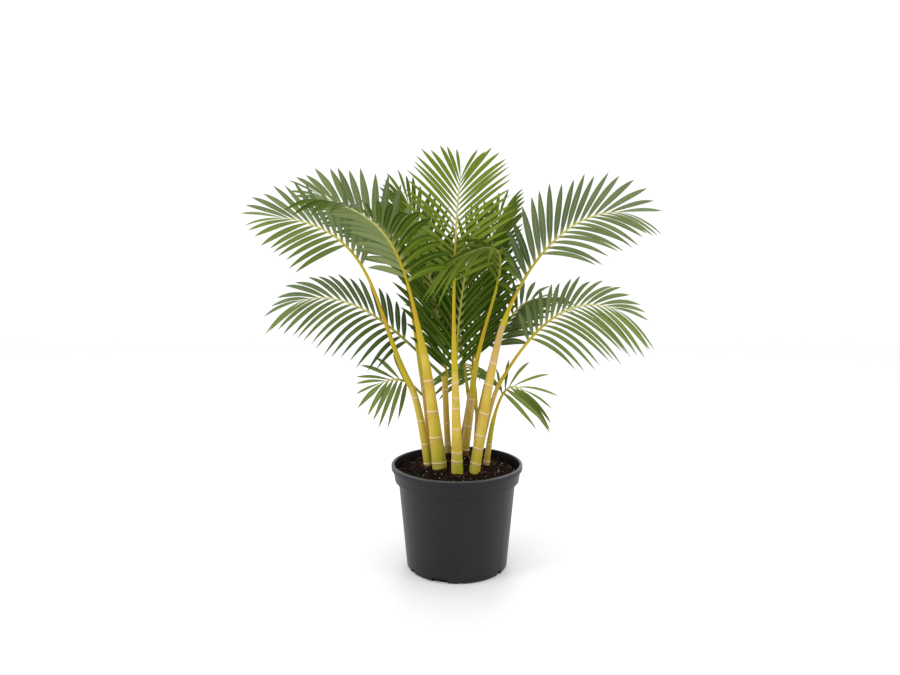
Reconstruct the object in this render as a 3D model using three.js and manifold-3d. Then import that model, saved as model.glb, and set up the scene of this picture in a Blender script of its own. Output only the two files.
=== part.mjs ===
import * as THREE from 'three';
import { mergeVertices } from 'three/addons/utils/BufferGeometryUtils.js';
import Module from 'manifold-3d';

// A golden cane palm in a black nursery pot. Millimetres, +Z up. The origin is the centre of the
// pot's underside, and -Y is the side that faces the viewer.

const wasm = await Module();
wasm.setup();

const up = new THREE.Vector3(0, 0, 1);
const gap = 0.3; // left between pieces that touch

const pot = {
  height: 223, // to the top of the lip
  lipRadius: 140,
  lipHeight: 11,
  lipInside: 133.5,
  skirtHeight: 35.5,
  skirtTop: 136,
  skirtBottom: 132.5,
  bodyTop: 125,
  bodyBottom: 107.5,
  corner: 5.5, // rounding where the body meets the foot
  wall: 2.5,
  floor: 3,
  footHeight: 6,
  footWidth: 9,
  padRadius: 30, // of the flat middle of the underside
  draft: 1.5, // how much the pad and the foot ring widen upwards
  sides: 44,
};

// Drainage notches in the foot ring: direction in degrees, width in mm.
const notches = [[-149, 10], [-112, 26], [-86, 10], [-36, 10], [10, 26], [55, 10], [100, 10], [145, 10]];

const soil = {
  level: 205, // at the pot's wall
  mound: [0, 45, 24, 52], // x and y of its middle, height and spread
  rough: 1.6,
  rings: [18, 38, 58, 78, 98, 116],
  sides: 28,
};

const cane = {
  depth: 38, // how far a foot stands in the soil
  rise: 3, // straight stretch above the soil
  scar: 1, // how far a ring scar stands out
  scarHalf: 1.7,
  swell: 1.6, // how fast the foot's swelling dies away
  lean: 0.2, // share of its length over which a cane turns to its top direction
  flare: 13,
};

// Foot on the soil, radius at foot and top, heights of the ring scars. A cane ends where its first frond
// starts. One that carries two fronds flares into a level crown, given by its centre and radius.
const canes = {
  left_outer: { foot: [-62, 7], radius: [9.3, 6.9], scars: [220, 262, 314, 364] },
  left_upper: { foot: [-54, 26], radius: [6.5, 6], scars: [262, 326, 381] },
  left_front: { foot: [-37, -12], radius: [15.8, 8.5], scars: [228, 283, 339, 404] },
  back_left: { foot: [-19, 58], radius: [7.2, 6.6], scars: [250, 296, 372], crown: [-26, 58, 401, 9.4] },
  centre: { foot: [0, -38], radius: [12.5, 6.6], scars: [238, 256, 306, 350, 371, 403] },
  inner_right: { foot: [17, 48], radius: [10, 7], scars: [240, 293, 354] },
  right_upper: { foot: [37, -29], radius: [12, 6.5], scars: [230, 262, 288, 335, 395, 440] },
  right_outer: { foot: [48, 26], radius: [5, 4.5], scars: [255, 300, 366] },
  right_small: { foot: [64, 16], radius: [7.2, 5], scars: [222, 260] },
  back_shoot: { foot: [42, 58], radius: [6.4, 6], scars: [236, 292], crown: [47, 56, 330, 9.4] },
  back_centre: { foot: [6, 74], radius: [6.4, 6], scars: [245, 290, 335], crown: [29, 60, 365, 9.4] },
  middle: { foot: [-2, 18], radius: [6, 5.2], scars: [252, 305] },
};

const leaf = {
  thick: 1, // of a blade
  wide: [0.34, 0.7], // shares of a blade's length where its widest and its narrowing section lie
  narrowing: 0.72,
  twist: 18, // each blade is turned on its own axis like a slat
  wander: 1.5, // random turn, degrees
  longest: 0.35, // share of the row where the longest leaflets stand
  short: [0.24, 0.32], // how much shorter the first and the last are
  closing: 0.7, // how far the last leaflets turn towards the tip, from this share of the row on
  closingFrom: 0.7,
  clear: 0.5, // kept all round a blade
  stalk: 0.62, // a stalk's radius as a share of its sheath's
  sheath: 0.3, // share of the bare stalk that the sheath covers
  midrib: [2.3, 0.9], // half width at its first leaflet and at its tip
  crownBase: 4.1, // radius of a sheath that shares a crown
  sideBase: 2.9,
};

// Turns of a blade about the midrib, and shares of its length, that are tried until it lies clear.
const turns = [0, 7, -7, 14, -14, 22, -22, 31, -31];
const shares = [1, 0.8, 0.62];

// The fronds, those in front first. A frond stands on the top of a cane, on its level crown or, small ones,
// on its side. path holds the four control points of the midrib's curve, heading the way it arches, roll
// its turn about its own line at each end, start the share of it that is bare, spread the angle between
// leaflet and midrib at each end and lift how far the two rows fold upwards. Each row then has its share of
// the length, its share of the angle, how far its tips hang, as a share of a leaflet's length, and the share
// of the room beside its neighbours that a blade fills. lost is how many leaflets a row lacks at its start.
const fronds = [
  {
    name: 'centre', on: 'centre', path: [[-5, -38, 428], [-11, -40, 554], [-4, -25, 752], [5, -142, 806]],
    heading: -90, roll: [0, 0], start: 0.44, pairs: 18, length: 152, width: 12.5, spread: [62, 32],
    lift: 10, rows: [1, 1], sweep: [1, 1], droop: [0.1, 0.1],
    fill: [0.66, 0.66], sections: 2,
  },
  {
    name: 'right_upper', on: 'right_upper',
    path: [[95, -12, 518], [134, -6, 632], [225, 0, 762], [343, 4, 752]],
    heading: 0, roll: [65, 68], start: 0.26, pairs: 17, length: 142, width: 19, spread: [56, 26],
    lift: 20, rows: [0.98, 0.88], sweep: [1, 1.2], droop: [0.1, 0.34],
    fill: [1, 0.62], lost: [0, 4], sections: 2,
  },
  {
    name: 'left_outer', on: 'left_outer',
    path: [[-98, -2, 389], [-178, -11, 545], [-155, -23, 714], [-360, -24, 740]],
    heading: 180, roll: [-75, -66], start: 0.56, pairs: 14, length: 136, width: 18, spread: [52, 22],
    lift: 20, rows: [0.84, 0.97], sweep: [1.6, 1], droop: [0.2, 0.1],
    fill: [0.62, 1], lost: [4, 0], sections: 2,
  },
  {
    name: 'left_front', on: 'left_front',
    path: [[-70, -25, 464], [-103, -37, 616], [-107, -93, 728], [-228, -180, 756]],
    heading: 250, roll: [0, -25], start: 0.38, pairs: 15, length: 168, width: 15, spread: [62, 30],
    lift: 4, rows: [1.08, 0.66], sweep: [1, 0.85], droop: [0.34, 0.3],
    fill: [0.95, 0.84], sections: 2,
  },
  {
    name: 'left_lower', on: 'back_left', seat: 'crown',
    path: [[-30.6, 58, 401], [-112, 41, 481], [-206, -6, 603], [-324, -15, 570]],
    heading: 190, roll: [-58, -58], start: 0.3, pairs: 16, length: 150, width: 18, spread: [52, 28],
    lift: 14, rows: [0.86, 0.78], sweep: [1.2, 1], droop: [0.4, 0.26],
    fill: [0.62, 1], sections: 2,
  },
  {
    name: 'right_lower', on: 'right_outer',
    path: [[90, 8, 391], [141, 3, 483], [218, -4, 594], [330, -13, 552]],
    heading: 0, roll: [58, 60], start: 0.34, pairs: 16, length: 152, width: 18, spread: [54, 30],
    lift: 12, rows: [0.76, 0.92], sweep: [1, 1.15], droop: [0.3, 0.45],
    fill: [1, 0.62], sections: 2,
  },
  {
    name: 'left_upper', on: 'left_upper',
    path: [[-75, 25, 406], [-116, 58, 660], [-108, 80, 715], [-310, 128, 802]],
    heading: 160, roll: [-60, -50], start: 0.48, pairs: 14, length: 132, width: 17, spread: [68, 24],
    lift: 20, rows: [0.9, 1.05], sweep: [0.9, 1], droop: [0.14, 0.08],
    fill: [0.84, 1], sections: 2,
  },
  {
    name: 'small_left', on: 'left_upper', seat: 'side',
    path: [[-79, 25, 366], [-108, 26, 404], [-130, 10, 406], [-160, -8, 396]],
    heading: 190, roll: [-66, -66], start: 0.4, pairs: 6, length: 122, width: 12, spread: [104, 20],
    lift: 6, rows: [0.84, 0.72], sweep: [0.92, 0.56], droop: [0.15, 0.15],
    fill: [0.84, 0.84], sections: 1,
  },
  {
    name: 'small_right', on: 'right_small',
    path: [[77, 10, 307], [92, 9, 371], [108, 4, 404], [142, -12, 380]],
    heading: -10, roll: [62, 62], start: 0.5, pairs: 6, length: 122, width: 12, spread: [96, 14],
    lift: 4, rows: [0.8, 0.94], sweep: [0.5, 1], droop: [0.22, 0.22],
    fill: [0.84, 0.84], sections: 1,
  },
  {
    name: 'inner_right', on: 'inner_right',
    path: [[34, 35, 372], [45, 15, 550], [178, -60, 758], [-20, -92, 646]],
    heading: 200, roll: [10, 10], start: 0.54, pairs: 12, length: 130, width: 12, spread: [50, 20],
    lift: -16, rows: [1, 0.9], sweep: [1, 1], droop: [0.5, 0.5],
    fill: [0.72, 0.72], sections: 2,
  },
  {
    name: 'back_left', on: 'back_left', seat: 'crown',
    path: [[-21.4, 58, 401], [-41, 76, 550], [-71, 121, 687], [-111, 165, 785]],
    heading: 115, roll: [0, 0], start: 0.03, pairs: 20, length: 184, width: 17, spread: [42, 26],
    lift: 12, rows: [1, 1], sweep: [1, 1], droop: [0.16, 0.16],
    fill: [0.96, 0.96], sections: 1,
  },
  {
    name: 'back_centre', on: 'back_centre', seat: 'crown',
    path: [[33.6, 60, 365], [36, 79, 515], [55, 129, 668], [102, 175, 755]],
    heading: 60, roll: [0, 0], start: 0.15, pairs: 20, length: 168, width: 17, spread: [50, 26],
    lift: 12, rows: [1, 1], sweep: [1, 1], droop: [0.16, 0.16],
    fill: [0.96, 0.96], sections: 1,
  },
  {
    name: 'back_inner', on: 'back_centre', seat: 'crown',
    path: [[24.4, 60, 365], [12, 82, 480], [-14, 128, 600], [-60, 200, 690]],
    heading: 120, roll: [0, 0], start: 0.24, pairs: 16, length: 156, width: 17, spread: [58, 30],
    lift: 6, rows: [1, 1], sweep: [1, 1], droop: [0.18, 0.18],
    fill: [0.96, 0.96], sections: 1,
  },
  {
    name: 'middle', on: 'middle',
    path: [[-3, 22, 372], [-2, 26, 470], [6, 40, 610], [42, 62, 720]],
    heading: 70, roll: [0, 0], start: 0.1, pairs: 17, length: 150, width: 16, spread: [40, 28],
    lift: -14, rows: [1, 1], sweep: [1, 1], droop: [0.12, 0.12],
    fill: [0.9, 0.9], sections: 1,
  },
  {
    name: 'back_right', on: 'back_shoot', seat: 'crown',
    path: [[51.6, 56, 330], [72, 69, 440], [118, 101, 590], [205, 135, 565]],
    heading: 25, roll: [20, 20], start: 0.42, pairs: 13, length: 125, width: 15, spread: [70, 30],
    lift: 12, rows: [1, 1], sweep: [1, 1], droop: [0.22, 0.22],
    fill: [0.9, 0.9], sections: 1,
  },
  {
    name: 'small_back', on: 'back_shoot', seat: 'crown',
    path: [[42.4, 56, 330], [45, 68, 380], [34, 98, 433], [13, 150, 417]],
    heading: 100, roll: [0, 0], start: 0.45, pairs: 8, length: 115, width: 12, spread: [85, 25],
    lift: -25, rows: [1, 1], sweep: [1, 1], droop: [0.45, 0.45],
    fill: [0.84, 0.84], sections: 1,
  },
];

// The material of each kind of piece, from the photograph.
const potPlastic = new THREE.MeshStandardMaterial({ color: 0x2f3032, roughness: 0.45, metalness: 0 });
const pottingMix = new THREE.MeshStandardMaterial({ color: 0x2e211b, roughness: 1, metalness: 0 });
const caneSkin = new THREE.MeshStandardMaterial({ color: 0xc8a93c, roughness: 0.5, metalness: 0 });
const foliage = new THREE.MeshStandardMaterial({ color: 0x4a6b2c, roughness: 0.55, metalness: 0 });

const radians = THREE.MathUtils.degToRad;
const vec = (...xyz) => new THREE.Vector3(...xyz);
const cross = (a, b) => a.clone().cross(b);
const mix = (a, b, share) => a + (b - a) * share;
const along = (origin, ...steps) => {
  const point = origin.clone();
  steps.forEach(([direction, distance]) => point.addScaledVector(direction, distance));
  return point;
};

// A repeatable random number from -1 to 1.
function wobble(a, b, c) {
  const x = Math.sin(a * 12.9898 + b * 78.233 + c * 37.719) * 43758.5453;
  return 2 * (x - Math.floor(x)) - 1;
}

// A closed body that is put together ring by ring. Points are kept by number.
class Body {
  points = [];
  faces = [];

  add(points) {
    return points.map((point) => this.points.push(point) - 1);
  }

  triangle(a, b, c) {
    if (a !== b && b !== c && c !== a) this.faces.push([a, b, c]);
  }

  // turned picks the other diagonal
  quad(a, b, c, d, turned = false) {
    if (turned) {
      this.triangle(b, c, d);
      this.triangle(b, d, a);
    } else {
      this.triangle(a, b, c);
      this.triangle(a, c, d);
    }
  }

  band(from, to, skipped = -1) {
    from.forEach((a, k) => {
      const next = (k + 1) % from.length;
      if (k !== skipped) this.quad(a, from[next], to[next], to[k]);
    });
  }

  cap(ring) {
    for (let k = 1; k + 1 < ring.length; k += 1) this.triangle(ring[0], ring[k], ring[k + 1]);
  }

  geometry() {
    const geometry = new THREE.BufferGeometry();
    const position = this.points.flatMap((p) => p.toArray());
    geometry.setAttribute('position', new THREE.Float32BufferAttribute(position, 3));
    geometry.setIndex(this.faces.flat());
    return geometry;
  }
}

function solidOf(geometry) {
  const bare = geometry.clone();
  bare.deleteAttribute('normal');
  bare.deleteAttribute('uv');
  const merged = mergeVertices(bare, 1e-3);
  const vertProperties = new Float32Array(merged.attributes.position.array);
  const triVerts = new Uint32Array(merged.index.array);
  return new wasm.Manifold(new wasm.Mesh({ numProp: 3, vertProperties, triVerts }));
}

function geometryOf(solid) {
  const { vertProperties, triVerts } = solid.getMesh();
  const geometry = new THREE.BufferGeometry();
  geometry.setAttribute('position', new THREE.BufferAttribute(vertProperties, 3));
  geometry.setIndex(new THREE.BufferAttribute(triVerts, 1));
  return geometry;
}

// A ring of points about a centre, counter-clockwise seen against its direction.
function ring(centre, frame, radius, sides) {
  return Array.from({ length: sides }, (_, k) => {
    const angle = ((k + 0.5) * 2 * Math.PI) / sides;
    return along(centre, [frame.n, radius * Math.cos(angle)], [frame.b, radius * Math.sin(angle)]);
  });
}

// The directions across a line: n is carried over from a neighbouring frame.
function carried(n, t) {
  const across = along(n, [t, -n.dot(t)]).normalize();
  return { t, n: across, b: cross(t, across) };
}

function frondFrame(frond, t, roll) {
  const heading = vec(Math.cos(radians(frond.heading)), Math.sin(radians(frond.heading)), 0);
  const side = cross(heading, up);
  side.addScaledVector(t, -side.dot(t)).normalize();
  const normal = cross(side, t);
  const n = along(vec(0, 0, 0), [normal, Math.cos(radians(roll))], [side, Math.sin(radians(roll))]);
  return { t, n, b: cross(t, n) };
}

// --- pot ---

// The inside of the pot below the lip, from the axis up, shrunk by inset.
function potInside(inset) {
  const well = pot.padRadius - pot.wall - inset;
  const floorTop = pot.footHeight + pot.floor + inset;
  const ledge = pot.height - pot.skirtHeight + pot.wall + inset;
  return [
    [well, pot.floor + inset],
    [well + pot.draft, floorTop],
    [pot.bodyBottom - pot.wall - inset, floorTop],
    [pot.bodyTop - pot.wall - inset, ledge],
    [pot.skirtBottom - pot.wall - inset, ledge],
  ];
}

function makePot() {
  const shelf = pot.height - pot.skirtHeight;
  const lipBottom = pot.height - pot.lipHeight;
  const footInside = pot.bodyBottom - pot.footWidth;
  const cornerStart = pot.bodyBottom - pot.corner;
  const turnedIn = pot.corner * (1 - Math.SQRT1_2);
  const profile = [
    [0, 0],
    [pot.padRadius, 0],
    [pot.padRadius + pot.draft, pot.footHeight],
    [footInside - pot.draft, pot.footHeight],
    [footInside, 0],
    [cornerStart, 0],
    [pot.bodyBottom - turnedIn, turnedIn],
    [pot.bodyBottom, pot.corner],
    [pot.bodyTop, shelf],
    [pot.skirtBottom, shelf],
    [pot.skirtTop, lipBottom],
    [pot.lipRadius - 1, lipBottom],
    [pot.lipRadius, lipBottom + 1],
    [pot.lipRadius, pot.height - 2],
    [pot.lipRadius - 2, pot.height],
    [pot.lipInside + 1, pot.height],
    [pot.lipInside, pot.height - 1.5],
    ...potInside(0).reverse(),
    [0, pot.floor],
  ].map(([radius, height]) => new THREE.Vector2(radius, height));
  const turned = new THREE.LatheGeometry(profile, pot.sides);
  turned.rotateX(Math.PI / 2);
  let solid = solidOf(turned);
  notches.forEach(([angle, width]) => {
    const box = new THREE.BoxGeometry(3 * pot.footWidth, width, pot.footHeight - 1);
    box.translate(pot.bodyBottom - pot.footWidth / 2, 0, (pot.footHeight - 1) / 2 - 0.5);
    box.rotateZ(radians(angle));
    solid = solid.subtract(solidOf(box));
  });
  return geometryOf(solid);
}

// --- soil ---

function soilHeight(x, y) {
  const [middleX, middleY, height, spread] = soil.mound;
  const away = ((x - middleX) ** 2 + (y - middleY) ** 2) / (2 * spread ** 2);
  const crumbs = Math.sin(x * 0.11 + 1.3) * Math.cos(y * 0.13) + Math.sin((x + y) * 0.07);
  return soil.level + height * Math.exp(-away) + soil.rough * crumbs;
}

function makeSoil(stubs) {
  const body = new Body();
  const level = (radius, height) => Array.from({ length: soil.sides }, (_, k) => {
    const angle = (k * 2 * Math.PI) / soil.sides;
    const [x, y] = [radius * Math.cos(angle), radius * Math.sin(angle)];
    return vec(x, y, height ?? soilHeight(x, y));
  });
  const inscribed = Math.cos(Math.PI / pot.sides);
  const sides = potInside(gap);
  const [edge] = sides.at(-1);
  let last = body.add(level(sides[0][0] * inscribed, sides[0][1]));
  body.cap([...last].reverse());
  sides.slice(1).forEach(([radius, height]) => {
    const next = body.add(level(radius * inscribed, height));
    body.band(last, next);
    last = next;
  });
  [edge * inscribed, ...[...soil.rings].reverse()].forEach((radius) => {
    const next = body.add(level(radius));
    body.band(last, next);
    last = next;
  });
  const [middle] = body.add([vec(0, 0, soilHeight(0, 0))]);
  last.forEach((a, k) => body.triangle(a, last[(k + 1) % soil.sides], middle));
  return geometryOf(stubs.reduce((solid, stub) => solid.subtract(stub), solidOf(body.geometry())));
}

// --- canes ---

const curveOf = (frond) => new THREE.CubicBezierCurve3(...frond.path.map((point) => vec(...point)));

// Where a cane ends: the centre, direction and radius of its top.
function caneTop(name) {
  const { crown, radius } = canes[name];
  const frond = fronds.find((each) => each.on === name && each.seat !== 'side');
  const tangent = curveOf(frond).getTangent(0);
  const { n } = frondFrame(frond, tangent, frond.roll[0]);
  if (crown) return { centre: vec(...crown.slice(0, 3)), frame: carried(n, up.clone()), radius: crown[3] };
  return { centre: vec(...frond.path[0]), frame: carried(n, tangent), radius: radius[1] };
}

function caneLine(name) {
  const { foot } = canes[name];
  const { centre, frame } = caneTop(name);
  const start = vec(foot[0], foot[1], soilHeight(...foot) + cane.rise);
  const end = along(centre, [frame.t, -gap]);
  const pull = along(end, [frame.t, -cane.lean * start.distanceTo(end)]);
  return new THREE.QuadraticBezierCurve3(start, pull, end);
}

function shareAtHeight(line, height) {
  let [low, high] = [0, 1];
  for (let i = 0; i < 40; i += 1) {
    const middle = (low + high) / 2;
    if (line.getPoint(middle).z < height) low = middle;
    else high = middle;
  }
  return low;
}

function caneRadius(name, share) {
  const [foot, top] = canes[name].radius;
  return top + (foot - top) * (1 - share) ** cane.swell;
}

// Heights, shares of the line and radii of the rings that a cane is made of, foot first.
function caneSections(name) {
  const line = caneLine(name);
  const { scars, crown } = canes[name];
  const sections = [{ share: 0, radius: caneRadius(name, 0) }];
  scars.forEach((height) => {
    [-1, 0, 1].forEach((step) => {
      const share = shareAtHeight(line, height + step * cane.scarHalf);
      sections.push({ share, radius: caneRadius(name, share) + (step ? 0 : cane.scar) });
    });
  });
  if (crown) {
    const share = shareAtHeight(line, crown[2] - cane.flare);
    sections.push({ share, radius: caneRadius(name, share) });
  }
  sections.push({ share: 1, radius: caneTop(name).radius });
  return { line, sections };
}

// The foot in the soil: a straight prism, grown on all sides by room.
function stubRings(name, n, room, top) {
  const { foot, radius } = canes[name];
  const level = soilHeight(...foot);
  const frame = carried(n, up.clone());
  const grown = radius[0] + room / Math.cos(Math.PI / 8);
  return [level - cane.depth - room, top ?? level].map((z) => ring(vec(...foot, z), frame, grown, 8));
}

function caneFrames(name) {
  const { line, sections } = caneSections(name);
  let { n } = caneTop(name).frame;
  const frames = [...sections].reverse().map(({ share }) => {
    const frame = carried(n, line.getTangent(share));
    n = frame.n;
    return frame;
  });
  return { line, sections, frames: frames.reverse() };
}

function makeCane(name) {
  const { line, sections, frames } = caneFrames(name);
  const body = new Body();
  const rings = stubRings(name, frames[0].n, 0);
  sections.forEach(({ share, radius }, i) => rings.push(ring(line.getPoint(share), frames[i], radius, 8)));
  const numbers = rings.map((points) => body.add(points));
  body.cap([...numbers[0]].reverse());
  numbers.slice(1).forEach((next, i) => body.band(numbers[i], next));
  body.cap(numbers.at(-1));
  return body;
}

function makeHole(name) {
  const body = new Body();
  const { frames } = caneFrames(name);
  const [low, high] = stubRings(name, frames[0].n, gap, pot.height + 40).map((points) => body.add(points));
  body.cap([...low].reverse());
  body.band(low, high);
  body.cap(high);
  return solidOf(body.geometry());
}

// --- fronds ---

// What a frond stands on: the plane its foot is cut to.
function seatOf(frond) {
  const curve = curveOf(frond);
  const own = frondFrame(frond, curve.getTangent(0), frond.roll[0]);
  const foot = curve.getPoint(0);
  const level = carried(own.n, up.clone());
  if (frond.seat === 'crown') return { frame: level, radius: leaf.crownBase, centre: foot };
  if (!frond.seat) return { frame: own, radius: canes[frond.on].radius[1], centre: foot };
  const { line, frames, sections } = caneFrames(frond.on);
  const share = shareAtHeight(line, frond.path[0][2]);
  const nearest = sections.findIndex((section) => section.share > share);
  const caneFrame = carried(frames[nearest].n, line.getTangent(share));
  const facets = Array.from({ length: 8 }, (_, k) => {
    const angle = (k * Math.PI) / 4;
    return along(vec(0, 0, 0), [caneFrame.n, Math.cos(angle)], [caneFrame.b, Math.sin(angle)]);
  });
  const toward = curve.getTangent(0);
  const out = facets.reduce((best, each) => (each.dot(toward) > best.dot(toward) ? each : best));
  const reach = caneRadius(frond.on, share) * Math.cos(Math.PI / 8) + gap;
  const centre = along(line.getPoint(share), [out, reach]);
  return { frame: carried(own.n, out), radius: leaf.sideBase, centre };
}

// The midrib's curve, moved so that it starts on its seat.
function midrib(frond) {
  const seat = seatOf(frond);
  const [, ...rest] = frond.path.map((point) => vec(...point));
  const curve = new THREE.CubicBezierCurve3(seat.centre, ...rest);
  curve.arcLengthDivisions = 400;
  const length = curve.getLength();
  const first = frond.start * length;
  return { seat, curve, length, first, step: (length - first) / (2 * frond.pairs) };
}

function rollAt(frond, share) {
  return mix(frond.roll[0], frond.roll[1], share);
}

// The angle between a leaflet and the midrib, by its share of the way along the row.
function angleAt(frond, side, share) {
  const past = Math.max(0, (share - leaf.closingFrom) / (1 - leaf.closingFrom));
  const swept = mix(...frond.spread, Math.max(0, share) ** 0.8) * mix(frond.sweep[side], 1, past);
  return radians(swept * (1 - leaf.closing * past ** 1.5));
}

// Everything that fixes one leaflet before it is bent clear.
function leafletOf(frond, number, rib, i) {
  const share = i / (2 * frond.pairs - 1);
  const at = (rib.first + (i + 0.5) * rib.step) / rib.length;
  const t = rib.curve.getTangentAt(at);
  const side = i % 2 ? 1 : -1;
  const fade = share < leaf.longest ? 1 - leaf.short[0] * ((leaf.longest - share) / leaf.longest) ** 2
    : 1 - leaf.short[1] * ((share - leaf.longest) / (1 - leaf.longest)) ** 1.6;
  const pair = 1 / frond.pairs;
  return {
    root: rib.curve.getPointAt(at),
    frame: frondFrame(frond, t, rollAt(frond, share)),
    side,
    angle: angleAt(frond, i % 2, share) + radians(leaf.wander * wobble(number, i, 1)),
    opening: (angleAt(frond, i % 2, share - pair) - angleAt(frond, i % 2, share + pair)) / 2,
    length: frond.length * frond.rows[i % 2] * fade * (1 + 0.05 * wobble(number, i, 2)),
    droop: frond.droop[i % 2] * (1 + 0.2 * wobble(number, i, 3)),
    fill: frond.fill[i % 2],
    spacing: 2 * rib.step,
  };
}

// The sections of a leaflet's blade, four points each, and its tip. room grows it on all sides.
function bladeOf(frond, leaflet, turn, scale, room = 0) {
  const { root, frame, side, angle, spacing } = leaflet;
  const fold = radians(frond.lift + turn);
  const out = frame.b.clone().multiplyScalar(side);
  const away = along(vec(0, 0, 0), [out, Math.cos(fold)], [frame.n, Math.sin(fold)]);
  const face = along(vec(0, 0, 0), [frame.n, Math.cos(fold)], [out, -Math.sin(fold)]);
  const start = along(vec(0, 0, 0), [frame.t, Math.cos(angle)], [away, Math.sin(angle)]);
  const length = leaflet.length * scale;
  const twist = radians(leaf.twist);
  const place = (u) => along(root, [start, length * u], [up, -length * leaflet.droop * u * u]);
  const widest = frond.sections === 2 ? leaf.wide : [0.42];
  const section = (u, width, thick) => {
    const d = along(start, [up, -2 * leaflet.droop * u]).normalize();
    const w = cross(face, d).normalize();
    if (w.dot(frame.t) < 0) w.negate();
    const m = cross(w, d).normalize();
    if (m.dot(face) < 0) m.negate();
    const across = along(vec(0, 0, 0), [w, Math.cos(twist)], [m, Math.sin(twist)]);
    const through = along(vec(0, 0, 0), [m, Math.cos(twist)], [w, -Math.sin(twist)]);
    const half = width / 2 + room;
    const deep = thick / 2 + room;
    return [[1, -1], [-1, -1], [-1, 1], [1, 1]].map(([m1, w1]) => (
      along(place(u), [through, side * m1 * deep], [across, w1 * half])));
  };
  const widthAt = (u) => {
    const free = (spacing * Math.sin(angle) + length * u * leaflet.opening) / Math.cos(twist);
    return Math.min(frond.width, leaflet.fill * free);
  };
  const sections = widest.map((u, k) => section(u, widthAt(u) * (k ? leaf.narrowing : 1), leaf.thick));
  if (room) sections.unshift(section(0.06, 0.5 * spacing * Math.sin(angle), 2 * leaf.midrib[1]));
  return { sections, tip: along(place(1), [start, room]) };
}

function addBlade(body, rootQuad, { sections, tip }) {
  let last = rootQuad;
  sections.forEach((points) => {
    const next = body.add(points);
    last.forEach((a, k) => {
      const after = (k + 1) % 4;
      body.quad(a, last[after], next[after], next[k], k === 1);
    });
    last = next;
  });
  const [end] = body.add([tip]);
  last.forEach((a, k) => body.triangle(a, last[(k + 1) % 4], end));
}

// The sheath, stalk and midrib, with the four corner numbers of each ring of the midrib.
function makeStalk(frond) {
  const rib = midrib(frond);
  const body = new Body();
  const { seat } = rib;
  const slim = leaf.stalk * Math.max(seat.radius, 4);
  const stations = [[0.1, 1], [leaf.sheath, 0.55], [0.6, 0.2], [0.88, 0.05]];
  let last = body.add(ring(seat.centre, seat.frame, seat.radius, 8));
  body.cap([...last].reverse());
  stations.forEach(([share, fullness]) => {
    const at = (share * rib.first) / rib.length;
    const frame = frondFrame(frond, rib.curve.getTangentAt(at), frond.roll[0]);
    const tapered = mix(slim, leaf.midrib[0] * Math.SQRT2, share);
    const radius = mix(tapered, seat.radius, fullness * (1 - share));
    const next = body.add(ring(rib.curve.getPointAt(at), frame, radius, 8));
    body.band(last, next);
    last = next;
  });
  const corners = Array.from({ length: 2 * frond.pairs + 1 }, (_, i) => {
    const share = i / (2 * frond.pairs);
    const at = Math.min((rib.first + i * rib.step) / rib.length, 1);
    const frame = frondFrame(frond, rib.curve.getTangentAt(at), rollAt(frond, share));
    const half = mix(leaf.midrib[0], leaf.midrib[1], share);
    return body.add(ring(rib.curve.getPointAt(at), frame, half * Math.SQRT2, 4));
  });
  body.band(last, corners[0].flatMap((corner) => [corner, corner]));
  body.cap(corners.at(-1));
  return { rib, body, corners };
}

// --- keeping the leaflets clear of one another ---

class Thicket {
  faces = [];

  add(triangles, owner) {
    triangles.forEach((points) => {
      this.faces.push({ points, box: new THREE.Box3().setFromPoints(points), owner });
    });
  }

  // Whether any of the triangles meets one that is there already.
  meets(triangles, owner) {
    const boxes = triangles.map((points) => new THREE.Box3().setFromPoints(points));
    const whole = boxes.reduce((all, box) => all.union(box), boxes[0].clone());
    const near = this.faces.filter((face) => face.owner !== owner && face.box.intersectsBox(whole));
    return near.some((face) => triangles.some((points, i) => (
      boxes[i].intersectsBox(face.box) && trianglesMeet(points, face.points))));
  }
}

function edgeMeets(from, to, [a, b, c]) {
  const direction = to.clone().sub(from);
  const ab = b.clone().sub(a);
  const ac = c.clone().sub(a);
  const p = cross(direction, ac);
  const det = ab.dot(p);
  if (Math.abs(det) < 1e-9) return false;
  const s = from.clone().sub(a);
  const u = s.dot(p) / det;
  const q = cross(s, ab);
  const v = direction.dot(q) / det;
  const w = ac.dot(q) / det;
  return u >= 0 && v >= 0 && u + v <= 1 && w >= 0 && w <= 1;
}

function trianglesMeet(one, other) {
  return [0, 1, 2].some((k) => edgeMeets(one[k], one[(k + 1) % 3], other)
    || edgeMeets(other[k], other[(k + 1) % 3], one));
}

function trianglesOf(body, from = 0) {
  return body.faces.slice(from).map((face) => face.map((i) => body.points[i]));
}

function looseBlade(blade) {
  const body = new Body();
  const [first, ...others] = blade.sections;
  const root = body.add(first);
  addBlade(body, root, { sections: others, tip: blade.tip });
  return trianglesOf(body);
}

// Adds the leaflets of one frond, each bent to the first position in which it lies clear.
function addLeaflets(frond, number, stalk, thicket) {
  const { rib, body, corners } = stalk;
  const stalkOwner = `stalk ${frond.name}`;
  const lost = frond.lost ?? [0, 0];
  for (let i = 0; i < 2 * frond.pairs; i += 1) {
    const leaflet = leafletOf(frond, number, rib, i);
    const [low, high] = [corners[i], corners[i + 1]];
    const sideFace = leaflet.side > 0 ? 0 : 2;
    body.band(low, high, sideFace);
    const rootQuad = [low[sideFace], low[sideFace + 1], high[sideFace + 1], high[sideFace]];
    const kept = i >= 2 * lost[i % 2] ? shares : [];
    const tries = kept.flatMap((scale) => turns.map((turn) => [turn, scale]));
    const found = tries.find(([turn, scale]) => (
      !thicket.meets(looseBlade(bladeOf(frond, leaflet, turn, scale, leaf.clear)), stalkOwner)));
    if (!found) {
      body.quad(...rootQuad);
      continue;
    }
    const before = body.faces.length;
    addBlade(body, rootQuad, bladeOf(frond, leaflet, ...found));
    thicket.add(trianglesOf(body, before), frond.name);
  }
}

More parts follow.
